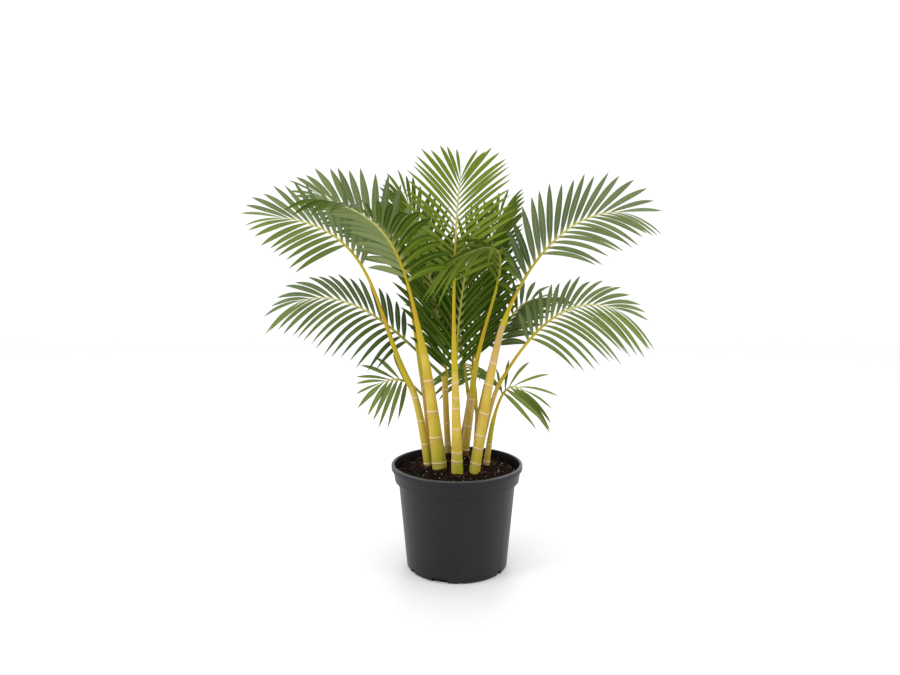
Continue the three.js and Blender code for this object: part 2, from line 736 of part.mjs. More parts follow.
// --- the whole plant ---

function meshOf(name, geometry, material) {
  const mesh = new THREE.Mesh(geometry, material);
  mesh.name = name;
  return mesh;
}

const plant = new THREE.Group();
plant.name = 'potted_palm';
plant.add(meshOf('pot', makePot(), potPlastic));
plant.add(meshOf('soil', makeSoil(Object.keys(canes).map(makeHole)), pottingMix));

const thicket = new Thicket();
Object.keys(canes).forEach((name) => {
  const body = makeCane(name);
  thicket.add(trianglesOf(body), 'cane');
  plant.add(meshOf(`cane_${name}`, body.geometry(), caneSkin));
});
const stalks = fronds.map(makeStalk);
stalks.forEach((stalk, number) => {
  const ribs = new Body();
  ribs.points = stalk.body.points;
  ribs.faces = [...stalk.body.faces];
  stalk.corners.slice(1).forEach((high, i) => ribs.band(stalk.corners[i], high));
  thicket.add(trianglesOf(ribs), `stalk ${fronds[number].name}`);
});
fronds.forEach((frond, number) => {
  addLeaflets(frond, number, stalks[number], thicket);
  plant.add(meshOf(`frond_${frond.name}`, stalks[number].body.geometry(), foliage));
});

export default plant;
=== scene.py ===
import random
from math import cos, degrees, exp, pi, radians, sin, tau

import bpy
import numpy as np
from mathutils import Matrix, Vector, kdtree, noise


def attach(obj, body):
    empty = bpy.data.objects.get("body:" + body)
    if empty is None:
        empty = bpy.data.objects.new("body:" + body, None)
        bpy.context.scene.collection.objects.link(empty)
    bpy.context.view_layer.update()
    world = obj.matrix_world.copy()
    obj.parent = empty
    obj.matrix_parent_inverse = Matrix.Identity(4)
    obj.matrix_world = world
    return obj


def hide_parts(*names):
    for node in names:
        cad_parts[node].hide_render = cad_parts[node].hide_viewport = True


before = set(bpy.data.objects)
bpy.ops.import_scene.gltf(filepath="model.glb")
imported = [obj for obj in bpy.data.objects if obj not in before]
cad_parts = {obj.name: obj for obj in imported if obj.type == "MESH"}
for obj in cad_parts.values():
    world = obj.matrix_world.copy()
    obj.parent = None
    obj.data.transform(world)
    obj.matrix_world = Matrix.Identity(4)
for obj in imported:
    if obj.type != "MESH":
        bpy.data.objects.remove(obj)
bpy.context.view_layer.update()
mm = 0.001  # lengths in the dictionaries are in millimetres unless a note says otherwise
up = Vector((0, 0, 1))

# Node trees. A Wire is one socket, and sums on it add Math nodes.


def operator(operation, swapped=False):
    def joined(self, other):
        return self.tree.math(operation, *((other, self) if swapped else (self, other)))
    return joined


class Wire:
    __add__, __radd__ = operator("ADD"), operator("ADD", True)
    __sub__, __rsub__ = operator("SUBTRACT"), operator("SUBTRACT", True)
    __mul__, __rmul__ = operator("MULTIPLY"), operator("MULTIPLY", True)
    __pow__ = operator("POWER")

    def __init__(self, tree, socket, node=None):
        self.tree = tree
        self.socket = socket
        self.node = node


class Tree:
    def __init__(self, tree, material=None):
        self.tree = tree
        self.material = material

    def add(self, kind, sockets=None, settings=None, output=0):
        node = self.tree.nodes.new(kind)
        for name, value in (settings or {}).items():
            if name == "stops":
                self.setStops(node.color_ramp, value)
            elif name == "curve":
                self.setCurve(node.mapping, value)
            else:
                setattr(node, name, value)
        pairs = sockets.items() if isinstance(sockets, dict) else enumerate(sockets or [])
        for key, value in pairs:
            if isinstance(value, Wire):
                self.tree.links.new(value.socket, node.inputs[key])
            else:
                node.inputs[key].default_value = value
        return Wire(self, node.outputs[output] if node.outputs else None, node)

    def setStops(self, ramp, stops):
        while len(ramp.elements) < len(stops):
            ramp.elements.new(1)
        for element, (place, colour) in zip(ramp.elements, stops):
            element.position = place
            element.color = (*colour, 1)

    def setCurve(self, mapping, points):
        line = mapping.curves[0]
        while len(line.points) < len(points):
            line.points.new(0.5, 0.5)
        for point, place in zip(line.points, points):
            point.location = place
        mapping.update()

    def math(self, operation, *values):
        return self.add("ShaderNodeMath", values, {"operation": operation})

    def clamped(self, operation, *values):
        return self.add("ShaderNodeMath", values, {"operation": operation, "use_clamp": True})

    def vector(self, operation, *values, output=0):
        return self.add("ShaderNodeVectorMath", values, {"operation": operation}, output)

    def scaled(self, vector, factor):
        return self.add("ShaderNodeVectorMath", {"Vector": vector, "Scale": factor}, {"operation": "SCALE"})

    def parts(self, vector):
        split = self.add("ShaderNodeSeparateXYZ", [vector])
        return [Wire(self, socket) for socket in split.node.outputs]

    def mix(self, factor, *colours):
        one, other = [(*colour, 1) if isinstance(colour, tuple) else colour for colour in colours]
        return self.add("ShaderNodeMix", {0: factor, 6: one, 7: other}, {"data_type": "RGBA"}, 2)

    def rise(self, height):
        return self.add("ShaderNodeCombineXYZ", {"Z": height})

    def place(self):
        return self.add("ShaderNodeTexCoord", output="Object")

    def attribute(self, name, output="Fac"):
        return self.add("ShaderNodeAttribute", settings={"attribute_name": name}, output=output)

    def noise(self, place, scale, detail=3, roughness=0.55):
        sockets = {"Vector": place, "Scale": scale, "Detail": detail, "Roughness": roughness}
        return self.add("ShaderNodeTexNoise", sockets)

    def bump(self, height, strength, distance):
        sockets = {"Strength": strength, "Distance": distance, "Height": height}
        return self.add("ShaderNodeBump", sockets)

    def step(self, value, low, high):
        return self.add("ShaderNodeMapRange", {"Value": value, "From Min": low, "From Max": high},
                        {"clamp": True, "interpolation_type": "SMOOTHSTEP"})

    def finish(self, colour, roughness, specular=0.5, normal=None, through=None, glow=None):
        values = {"Base Color": colour, "Roughness": roughness, "Specular IOR Level": specular}
        if normal:
            values["Normal"] = normal
        shader = self.add("ShaderNodeBsdfPrincipled", values)
        if through:
            light = self.add("ShaderNodeBsdfTranslucent", {"Color": glow})
            shader = self.add("ShaderNodeMixShader", {0: through, 1: shader, 2: light})
        self.add("ShaderNodeOutputMaterial", {0: shader})
        return self.material

    def copies(self, points, piece, material, **settings):
        shape = self.add("GeometryNodeObjectInfo", {0: piece}, output="Geometry")
        sockets = {"Points": points, "Instance": shape, **settings}
        placed = self.add("GeometryNodeInstanceOnPoints", sockets)
        solid = self.add("GeometryNodeRealizeInstances", {0: placed})
        return self.add("GeometryNodeSetMaterial", {0: solid, "Material": material})


# Lines and frames, by the same rules as the solids.


class Line:
    def __init__(self, points, divisions=400):
        self.points = np.array(points, float)
        shares = np.linspace(0, 1, divisions + 1)
        places = np.array([self.at(share) for share in shares])
        steps = np.linalg.norm(np.diff(places, axis=0), axis=1)
        self.reached = np.concatenate([[0], np.cumsum(steps)])
        self.shares = shares
        self.length = float(self.reached[-1])

    def at(self, share):
        points = self.points
        while len(points) > 1:
            points = points[:-1] * (1 - share) + points[1:] * share
        return points[0]

    def tangent(self, share):
        step = self.at(min(1, share + 1e-4)) - self.at(max(0, share - 1e-4))
        return Vector(step).normalized()

    def along(self, reached):
        share = float(np.interp(reached, self.reached, self.shares))
        return Vector(self.at(share)), self.tangent(share)


def mixed(one, other, share):
    return one + (other - one) * share


def swung(one, other, angle):
    return one * cos(angle) + other * sin(angle)


def wobble(a, b, c):
    x = sin(a * 12.9898 + b * 78.233 + c * 37.719) * 43758.5453
    return 2 * (x % 1) - 1


def frondFrame(heading, tangent, roll):
    way = swung(Vector((1, 0, 0)), Vector((0, 1, 0)), radians(heading))
    side = way.cross(up)
    side = (side - tangent * side.dot(tangent)).normalized()
    n = swung(side.cross(tangent), side, radians(roll))
    return n, tangent.cross(n)


def carried(n, tangent):
    across = (n - tangent * n.dot(tangent)).normalized()
    return across, tangent.cross(across)


def meshOf(name, points, faces, attributes=None):
    mesh = bpy.data.meshes.new(name)
    mesh.from_pydata(points, [], faces)
    for key, values in (attributes or {}).items():
        values = np.array(values, float)
        isVector = values.ndim == 2
        kind = "FLOAT_VECTOR" if isVector else "FLOAT"
        data = mesh.attributes.new(key, kind, "POINT").data
        data.foreach_set("vector" if isVector else "value", values.ravel())
    mesh.update()
    return mesh


def objectOf(name, mesh, *materials):
    piece = bpy.data.objects.new(name, mesh)
    bpy.context.scene.collection.objects.link(piece)
    for material in materials:
        mesh.materials.append(material)
    return piece


def loftFaces(rings, sides):
    faces = [tuple(reversed(range(sides)))]
    for i in range(rings - 1):
        for k in range(sides):
            a = i * sides + k
            b = i * sides + (k + 1) % sides
            faces.append((a, b, b + sides, a + sides))
    faces.append(tuple(range((rings - 1) * sides, rings * sides)))
    return faces


def smooth(mesh, angle=180):
    mesh.shade_smooth()
    if angle < 180:
        mesh.set_sharp_from_angle(angle=radians(angle))


def newTree(name):
    tree = bpy.data.node_groups.new(name, "GeometryNodeTree")
    for way in ("INPUT", "OUTPUT"):
        tree.interface.new_socket("Geometry", in_out=way, socket_type="NodeSocketGeometry")
    nodes = Tree(tree)
    return nodes, nodes.add("NodeGroupInput")


def grown(piece, nodes, result):
    nodes.add("NodeGroupOutput", {0: result})
    modifier = piece.modifiers.new("rule", "NODES")
    modifier.node_group = nodes.tree
    piece.update_tag()
    shape = piece.evaluated_get(bpy.context.evaluated_depsgraph_get())
    mesh = bpy.data.meshes.new_from_object(shape)
    piece.modifiers.remove(modifier)
    return mesh


def circle(count):
    turns = [tau * k / count for k in range(count)]
    return [(cos(turn), sin(turn)) for turn in turns]


def discard(piece):
    bpy.data.objects.remove(piece, do_unlink=True)


def newMaterial(name):
    material = bpy.data.materials.new(name)
    material.use_nodes = True
    material.node_tree.nodes.clear()
    return Tree(material.node_tree, material)


# Camera, lights and floor.

view = {
    "place": (-0.0149, -1.468, 0.636),
    "down": 5.61,  # degrees
    "lens": 28,
    "sensor": 36,
}

studio = {
    "floorSize": 9.0,  # metres, as the lamps are
    "floorColour": (0.93, 0.93, 0.93, 1),
    "worldColour": (1, 1, 1, 1),
    "worldStrength": 1.06,
    "lamps": {
        "left": {"place": (-2.4, -1.3, 1.5), "size": 1.2, "power": 26},
        "right": {"place": (2.5, -0.9, 1.2), "size": 1.0, "power": 13},
        "behind": {"place": (0.3, 2.6, 1.8), "size": 1.6, "power": 14},
    },
    "aim": (0, 0, 0.45),
}


def makeStudio():
    lens = bpy.data.cameras.new("camera")
    lens.lens = view["lens"]
    lens.sensor_width = view["sensor"]
    camera = bpy.data.objects.new("camera", lens)
    camera.location = view["place"]
    camera.rotation_euler = (radians(90 - view["down"]), 0, 0)
    bpy.context.scene.collection.objects.link(camera)
    bpy.context.scene.camera = camera

    half = studio["floorSize"] / 2
    corners = [(-half, -half, 0), (half, -half, 0), (half, half, 0), (-half, half, 0)]
    nodes = newMaterial("paleFloor")
    material = nodes.finish(studio["floorColour"], 0.6)
    floor = objectOf("floor", meshOf("floor", corners, [(0, 1, 2, 3)]), material)

    world = bpy.data.worlds.new("whiteRoom")
    world.use_nodes = True
    world.node_tree.nodes.clear()
    nodes = Tree(world.node_tree)
    light = nodes.add("ShaderNodeBackground", {0: studio["worldColour"], 1: studio["worldStrength"]})
    nodes.add("ShaderNodeOutputWorld", {0: light})
    bpy.context.scene.world = world

    for name, lamp in studio["lamps"].items():
        data = bpy.data.lights.new(name, "AREA")
        data.shape = "DISK"
        data.size = lamp["size"]
        data.energy = lamp["power"]
        holder = bpy.data.objects.new(name, data)
        holder.location = lamp["place"]
        toward = Vector(studio["aim"]) - Vector(lamp["place"])
        holder.rotation_euler = toward.to_track_quat("-Z", "Y").to_euler()
        bpy.context.scene.collection.objects.link(holder)
    bpy.context.scene.view_settings.view_transform = "Standard"


makeStudio()
print("studio ready")

# The pot.

pot = {
    "height": 223,
    "lipRadius": 140,
    "lipHeight": 11,
    "lipInside": 133.5,
    "skirtHeight": 35.5,
    "skirtTop": 136,
    "skirtBottom": 132.5,
    "bodyTop": 125,
    "bodyBottom": 107.5,
    "corner": 5.5,
    "wall": 2.5,
    "floor": 3,
    "footHeight": 6,
    "footWidth": 9,
    "padRadius": 30,
    "draft": 1.5,
    "notchDepth": 7.5,
    "notchEdge": 0.12,  # half the turn over which a notch's side wall runs, in degrees
    "notches": [  # direction in degrees, width and height
        (-149, 12, 8.7), (-109.6, 34, 8.7), (-86, 10, 4), (-36, 12, 8.7),
        (10, 26, 8.7), (55, 12, 8.7), (100, 12, 8.7), (145, 12, 8.7)],
    "steps": 176,
    "grain": 900,  # sizes of the patterns, larger is finer
    "cloud": 7,
    "rub": 60,
    "dust": 240,
    "dusty": 70,  # how far up the dust reaches
    "colour": (0.0088, 0.0090, 0.0108),
    "scuffed": (0.023, 0.023, 0.027),
    # edge is the colour of a painted highlight along the lip's top outer edge
    "edge": (0.075, 0.079, 0.088),
    "shade": (0.0008, 0.0008, 0.0010),
}


def rounded(outline, pieces=4):
    points = []
    for i, (radius, height, size) in enumerate(outline):
        here = Vector((radius, height))
        if not size:
            points.append(here)
            continue
        before = (Vector(outline[i - 1][:2]) - here).normalized()
        after = (Vector(outline[(i + 1) % len(outline)][:2]) - here).normalized()
        for k in range(pieces + 1):
            share = k / pieces
            start = here + before * size * (1 - share) ** 2
            points.append(start + after * size * share ** 2)
    return points


def potInside(inset=0.0):
    well = pot["padRadius"] - pot["wall"] - inset
    floorTop = pot["footHeight"] + pot["floor"] + inset
    ledge = pot["height"] - pot["skirtHeight"] + pot["wall"] + inset
    return [
        (well, pot["floor"] + inset),
        (well + pot["draft"], floorTop),
        (pot["bodyBottom"] - pot["wall"] - inset, floorTop),
        (pot["bodyTop"] - pot["wall"] - inset, ledge),
        (pot["skirtBottom"] - pot["wall"] - inset, ledge),
    ]


def potMaterial():
    nodes = newMaterial("potPlastic")
    place = nodes.place()
    grain = nodes.noise(place, pot["grain"], 2)
    cloud = nodes.noise(place, pot["cloud"], 4)
    stretched = nodes.vector("MULTIPLY", place, (1, 1, 0.12))
    rub = nodes.noise(stretched, pot["rub"], 3)
    height = nodes.parts(place)[2]
    dust = nodes.noise(place, pot["dust"], 4)
    dust = nodes.step(dust, 0.56, 0.78) * (1 - nodes.step(height, 0, pot["dusty"] * mm))
    worn = nodes.clamped("ADD", nodes.step(cloud, 0.45, 0.8) * 0.35, dust * 0.35)
    colour = nodes.mix(worn, pot["colour"], pot["scuffed"])
    around = nodes.vector("LENGTH", nodes.vector("MULTIPLY", place, (1, 1, 0)), output=1)
    lip = pot["lipRadius"] * mm
    top = pot["height"] * mm
    # painted highlight: the lip's top outer edge is mixed toward the edge colour, varied by the rub pattern
    rimHighlight = nodes.step(around, lip - 0.0032, lip - 0.0012) * nodes.step(height, top - 0.0028, top - 0.0014)
    colour = nodes.mix(rimHighlight * (0.45 + rub * 0.5), colour, pot["edge"])
    # painted shade: the back wall of each notch is painted near black and made rougher
    back = (pot["bodyBottom"] - pot["notchDepth"]) * mm
    notchShade = 1 - nodes.step(around, back + 0.0005, back + 0.0012)
    notchShade = notchShade * (1 - nodes.step(height, 0.0086, 0.009))
    # painted shade: the pot's inside wall between the soil and the lip is painted darker
    inner = pot["lipInside"] * mm
    throatShade = (1 - nodes.step(around, inner, inner + 0.0007)) * nodes.step(height, top - 0.023, top - 0.02)
    colour = nodes.mix(notchShade, colour, pot["shade"])
    colour = nodes.mix(throatShade * 0.85, colour, pot["shade"])
    return nodes.finish(
        colour, 0.34 + cloud * 0.1 + rub * 0.06 + notchShade * 0.4, 0.24,
        nodes.bump(grain * 0.5 + rub * 0.3, 0.12, 0.0006))


def potProfile():
    shelf = pot["height"] - pot["skirtHeight"]
    lipBottom = pot["height"] - pot["lipHeight"]
    footInside = pot["bodyBottom"] - pot["footWidth"]
    inside = potInside()
    return rounded([
        (0, 0, 0),
        (pot["padRadius"], 0, 1),
        (pot["padRadius"] + pot["draft"], pot["footHeight"], 1),
        (footInside - pot["draft"], pot["footHeight"], 1),
        (footInside, 0, 1),
        (pot["bodyBottom"], 0, pot["corner"]),
        (pot["bodyTop"], shelf, 1.2),
        (pot["skirtBottom"], shelf, 1.2),
        (pot["skirtTop"], lipBottom, 1.2),
        (pot["lipRadius"], lipBottom, 1.5),
        (pot["lipRadius"], pot["height"], 2.6),
        (pot["lipInside"], pot["height"], 2),
        (*inside[4], 1),
        (*inside[3], 1),
        (*inside[2], 2),
        (*inside[1], 1),
        (*inside[0], 0),
        (0, pot["floor"], 0),
    ])


def notchHalf(width):
    return degrees(width / 2 / pot["bodyBottom"])


def notchAt(turn):
    for middle, width, tall in pot["notches"]:
        if abs((turn - middle + 180) % 360 - 180) < notchHalf(width):
            return tall
    return 0


def makePot():
    profile = potProfile()
    back = pot["bodyBottom"] - pot["notchDepth"]
    corner = [point[0] > back for point in profile[1:-1]].index(True)  # where the foot's rounding starts
    turns = [360 * k / pot["steps"] for k in range(pot["steps"])]
    for middle, width, tall in pot["notches"]:
        for edge in (middle - notchHalf(width), middle + notchHalf(width)):
            turns += [(edge - pot["notchEdge"]) % 360, (edge + pot["notchEdge"]) % 360]
    turns = sorted(turns)
    points = []
    for turn in turns:
        angle = radians(turn)
        tall = notchAt(turn)
        outer = mixed(pot["bodyBottom"], pot["bodyTop"], tall / (pot["height"] - pot["skirtHeight"]))
        recess = [(back, 0), (back, tall), (outer, tall), (outer, tall + 0.01), (outer, tall + 0.02)]
        for k, (radius, height) in enumerate(profile[1:-1]):
            if tall and corner <= k < corner + len(recess):
                radius, height = recess[k - corner]
            points.append((radius * cos(angle) * mm, radius * sin(angle) * mm, height * mm))
    rows = len(profile) - 2
    bottom = len(points)
    points += [(0, 0, 0), (0, 0, pot["floor"] * mm)]
    faces = []
    for i in range(len(turns)):
        here = i * rows
        beside = (i + 1) % len(turns) * rows
        faces.append((bottom, beside, here))
        faces.append((bottom + 1, here + rows - 1, beside + rows - 1))
        for k in range(rows - 1):
            faces.append((here + k, beside + k, beside + k + 1, here + k + 1))
    mesh = meshOf("potShell", points, faces)
    smooth(mesh, 38)
    piece = objectOf("potShell", mesh, potMaterial())
    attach(piece, "root")
    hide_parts("pot")


makePot()
print("pot ready")

# The canes' places come first, because roots gather at their feet: foot on the soil, radius at foot and
# top, heights of the ring scars, how green the skin is at foot and top, how tan at foot, at top and above
# the last scar, the height of a dry husk at the foot, and the crown where two fronds share it.
canes = {
    "left_outer": {
        "foot": (-62, 7), "radius": (9.3, 6.9), "scars": (220, 262, 314, 364),
        "green": (0.75, 0.15), "tan": (0.05, 0.15, 0.2)},
    "left_upper": {
        "foot": (-54, 26), "radius": (6.5, 6), "scars": (262, 326, 381),
        "green": (0.2, 0.2), "tan": (0.6, 0.6, 0.5)},
    "left_front": {
        "foot": (-37, -12), "radius": (15.8, 8.5), "scars": (228, 283, 339, 404),
        "green": (0.45, 0.1), "tan": (0, 0.05, 0.05)},
    "back_left": {
        "foot": (-19, 58), "radius": (7.2, 6.6), "scars": (250, 296, 372),
        "green": (0.3, 0.6), "tan": (0.55, 0.3, 0.3), "husk": 228,
        "crown": (-26, 58, 401, 9.4)},
    "centre": {
        "foot": (0, -38), "radius": (12.5, 6.6), "scars": (238, 256, 306, 350, 371, 403),
        "green": (0.4, 0.25), "tan": (0, 0.15, 0.1)},
    "inner_right": {
        "foot": (17, 48), "radius": (10, 7), "scars": (240, 293, 354),
        "green": (0.45, 0.2), "tan": (0.4, 0.5, 0.1), "husk": 240},
    "right_upper": {
        "foot": (37, -29), "radius": (12, 6.5), "scars": (230, 262, 288, 335, 395, 440),
        "green": (0.4, 0.1), "tan": (0, 0.4, 1)},
    "right_outer": {
        "foot": (48, 26), "radius": (5, 4.5), "scars": (255, 300, 366),
        "green": (0.3, 0.1), "tan": (0.25, 0.55, 0.3), "husk": 228},
    "right_small": {
        "foot": (64, 16), "radius": (7.2, 5), "scars": (222, 260),
        "green": (0.3, 0.95), "tan": (0.3, 0, 0)},
    "back_shoot": {
        "foot": (42, 58), "radius": (6.4, 6), "scars": (236, 292),
        "green": (0.6, 0.6), "tan": (0.5, 0.5, 0.5),
        "crown": (47, 56, 330, 9.4)},
    "back_centre": {
        "foot": (6, 74), "radius": (6.4, 6), "scars": (245, 290, 335),
        "green": (0.5, 0.5), "tan": (0.5, 0.5, 0.5),
        "crown": (29, 60, 365, 9.4)},
    "middle": {
        "foot": (-2, 18), "radius": (6, 5.2), "scars": (252, 305),
        "green": (0.6, 0.6), "tan": (0.5, 0.4, 0.4), "husk": 232},
}

soil = {
    "gap": 0.3,
    "level": 205,
    "mound": (0, 45, 24, 52),  # x and y of its middle, height and spread
    "rough": 1.6,
    "lump": 1.5,
    "fineLump": 1.1,
    "lumpScale": 0.09,
    "steps": 150,
    "rings": 46,
    "dark": (0.0048, 0.0028, 0.0015),
    "brown": (0.024, 0.0105, 0.0048),
    "damp": (0.012, 0.0068, 0.0036),
    "coarse": 70,  # sizes of the patterns, larger is finer
    "fine": 420,
    "bits": {
        "perlite": {
            "count": 230, "size": (0.7, 2.5), "seed": 3, "lift": 0.35, "tilt": 3, "flat": (0.9, 0.8),
            "roughness": 0.75, "colour": (0.80, 0.74, 0.60)},
        "bark": {
            "count": 900, "size": (1.6, 5.5), "seed": 8, "lift": 0.3, "tilt": 3, "flat": (0.45, 0.25),
            "roughness": 0.7, "colour": (0.052, 0.023, 0.012)},
        "crumbs": {
            "count": 7000, "size": (0.8, 2.6), "seed": 21, "lift": 0.2, "tilt": 3, "flat": (0.8, 0.7),
            "roughness": 0.9, "colour": (0.0085, 0.0048, 0.0026)},
        "roots": {
            "count": 230, "size": (9, 22), "seed": 5, "lift": 0.03, "tilt": 0.35,
            "roughness": 0.7, "colour": (0.120, 0.050, 0.024)},
    },
    "rooted": 19,  # how far from a cane's foot its roots show
    "patch": 160,
    "grain": 900,
}


def soilHeight(x, y):
    middleX, middleY, height, spread = soil["mound"]
    away = ((x - middleX) ** 2 + (y - middleY) ** 2) / (2 * spread ** 2)
    crumbs = sin(x * 0.11 + 1.3) * cos(y * 0.13) + sin((x + y) * 0.07)
    return soil["level"] + height * exp(-away) + soil["rough"] * crumbs


def crumbled(x, y):
    place = Vector((x * soil["lumpScale"], y * soil["lumpScale"], 0.4))
    fine = noise.fractal(place * 3.1, 0.8, 2.1, 3)
    return soilHeight(x, y) + soil["lump"] * noise.noise(place) + soil["fineLump"] * fine


def soilMaterial():
    nodes = newMaterial("pottingMix")
    place = nodes.place()
    coarse = nodes.noise(place, soil["coarse"], 5)
    fine = nodes.noise(place, soil["fine"], 5, 0.7)
    warm = nodes.mix(nodes.step(coarse, 0.42, 0.66), soil["dark"], soil["brown"])
    colour = nodes.mix(nodes.step(fine, 0.35, 0.7) * 0.7, warm, soil["damp"])
    return nodes.finish(colour, 0.86 + fine * 0.1, 0.05, nodes.bump(fine + coarse * 0.6, 0.9, 0.002))


def bitMaterial(name, bits):
    nodes = newMaterial(name)
    place = nodes.place()
    patch = nodes.noise(place, soil["patch"], 3)
    grain = nodes.noise(place, soil["grain"], 3)
    paler = tuple(min(1, part * 1.7) for part in bits["colour"])
    darker = tuple(part * 0.5 for part in bits["colour"])
    shade = nodes.mix(nodes.step(patch, 0.35, 0.65), darker, paler)
    return nodes.finish(
        nodes.mix(grain * 0.5, shade, bits["colour"]), bits["roughness"] + grain * 0.08, 0.07,
        nodes.bump(grain, 0.5, 0.0005))


def bitMesh(name, flat):
    draw = random.Random(4)
    points = []
    for x, y, z in [(1, 0, 0), (-1, 0, 0), (0, 1, 0), (0, -1, 0), (0, 0, 1), (0, 0, -1)]:
        points.append([part * draw.uniform(0.32, 0.58) for part in (x, y * flat[0], z * flat[1])])
    faces = [(0, 2, 4), (2, 1, 4), (1, 3, 4), (3, 0, 4), (2, 0, 5), (1, 2, 5), (3, 1, 5), (0, 3, 5)]
    return meshOf(name, points, faces)


def strandMesh(name, pieces=5):
    points = []
    for k in range(pieces + 1):
        share = k / pieces
        middle = Vector((share - 0.5, 0.16 * sin(share * 4.2), 0.05 * sin(share * 3.1)))
        thick = 0.032 * (1 - 0.6 * share)
        points += [middle + Vector((0, *way)) * thick for way in circle(3)]
    return meshOf(name, points, loftFaces(pieces + 1, 3))


def scattered(surface, bit, bits, material):
    nodes, given = newTree("scatter")
    density = bits["count"] / sum(each.area for each in surface.data.polygons)
    spread = nodes.add("GeometryNodeDistributePointsOnFaces",
                       {"Mesh": given, "Density": density, "Seed": bits["seed"]})
    smallest, largest = bits["size"]
    size = nodes.add("FunctionNodeRandomValue", {2: smallest * mm, 3: largest * mm, "Seed": bits["seed"]},
                     {"data_type": "FLOAT"}, 1)
    most = Vector((bits["tilt"], bits["tilt"], pi))
    turn = nodes.add("FunctionNodeRandomValue", {0: -most, 1: most, "Seed": bits["seed"]},
                     {"data_type": "FLOAT_VECTOR"})
    lifted = nodes.add("GeometryNodeSetPosition",
                       {"Geometry": spread, "Offset": nodes.rise(size * bits["lift"])})
    return grown(surface, nodes, nodes.copies(lifted, bit, material, Rotation=turn, Scale=size))


def scatterBits(points, top):
    feet = [Vector((*each["foot"], 0)) for each in canes.values()]
    near = []
    for face in top:
        middle = sum((points[k] for k in face), Vector()) / len(face) / mm
        if min((middle.xy - foot.xy).length for foot in feet) < soil["rooted"]:
            near.append(face)
    for name, bits in soil["bits"].items():
        surface = objectOf("soilTop", meshOf("soilTop", points, near if name == "roots" else top))
        shape = bitMesh(name + "Bit", bits["flat"]) if "flat" in bits else strandMesh("strand")
        bit = objectOf(name + "Bit", shape)
        piece = objectOf(name, scattered(surface, bit, bits, bitMaterial(name, bits)))
        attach(piece, "root")
        discard(bit)
        discard(surface)


def makeSoil():
    sides = potInside(soil["gap"])
    steps = soil["steps"]
    points = []
    for radius, height in sides:
        points += [(radius * x, radius * y, height) for x, y in circle(steps)]
    for k in range(soil["rings"]):
        radius = sides[-1][0] * (1 - k / soil["rings"])
        points += [(radius * x, radius * y, crumbled(radius * x, radius * y)) for x, y in circle(steps)]
    faces = loftFaces(len(points) // steps, steps)
    points = [Vector(point) * mm for point in points]
    bed = meshOf("soilBed", points, faces)
    smooth(bed)
    piece = objectOf("soilBed", bed, soilMaterial())
    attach(piece, "root")
    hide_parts("soil")
    scatterBits(points, [face for face in faces[1:-1] if min(face) >= len(sides) * steps])


makeSoil()
print("potting mix ready")

# The canes.

cane = {
    "depth": 38,
    "rise": 3,
    "scar": 1.0,  # how far a ring scar stands out, and how it is rounded
    "aroundScar": (-3.2, -2.2, -1.4, -0.8, 0, 0.8, 1.4, 2.2, 3.2),
    "swell": 1.6,
    "lean": 0.2,
    "flare": 13,
    "sides": 28,
    "spacing": 5,
    "bulgeWidth": 1.5,
    "belowFade": 3.5,  # of the tan band under a scar
    "ringWidth": 1.1,  # of a scar's pale line, which tilts and waves about the cane
    "tilt": 0.8,
    "wave": 0.45,
    "varies": 0.22,  # how much the green differs between stretches
    # painted shade: the value below makes the skin greener and less tan on the cane's right side
    "turned": 0.22,  # how much greener the skin is on its right side
    "streaks": 260,  # sizes of the patterns, larger is finer
    "bands": 70,
    "clouds": 26,
    "flecks": 620,
    "gold": (0.50, 0.34, 0.026),
    "ripe": (0.58, 0.43, 0.056),
    "green": (0.34, 0.35, 0.018),
    "tan": (0.45, 0.31, 0.165),
    "scarColour": (0.72, 0.54, 0.35),
    "brown": (0.27, 0.14, 0.050),
    "husk": (0.095, 0.040, 0.018),
}

leaf = {
    "twist": 18,
    "wander": 1.5,
    "longest": 0.35,
    "short": (0.24, 0.32),
    "uneven": (0.05, 0.2),  # how much length and droop differ between leaflets
    "closing": 0.7,
    "closingFrom": 0.7,
    "turns": (0, 7, -7, 14, -14, 22, -22, 31, -31),
    "shares": (1, 0.8, 0.62),
    "near": 0.5,  # how close a leaflet's tip lies to the one in the solid
    "stations": 12,
    "fold": 0.2,
    "thick": 0.75,
    "curl": 0.05,
    "curlFrom": 0.55,
    "outline": ((0, 0.42), (0.1, 0.66), (0.34, 1), (0.55, 0.93), (0.72, 0.72), (0.88, 0.38), (1, 0)),
    "ripple": 0.7,
    "waves": 9,
    "veins": 46,
    "fineVeins": 121,
}
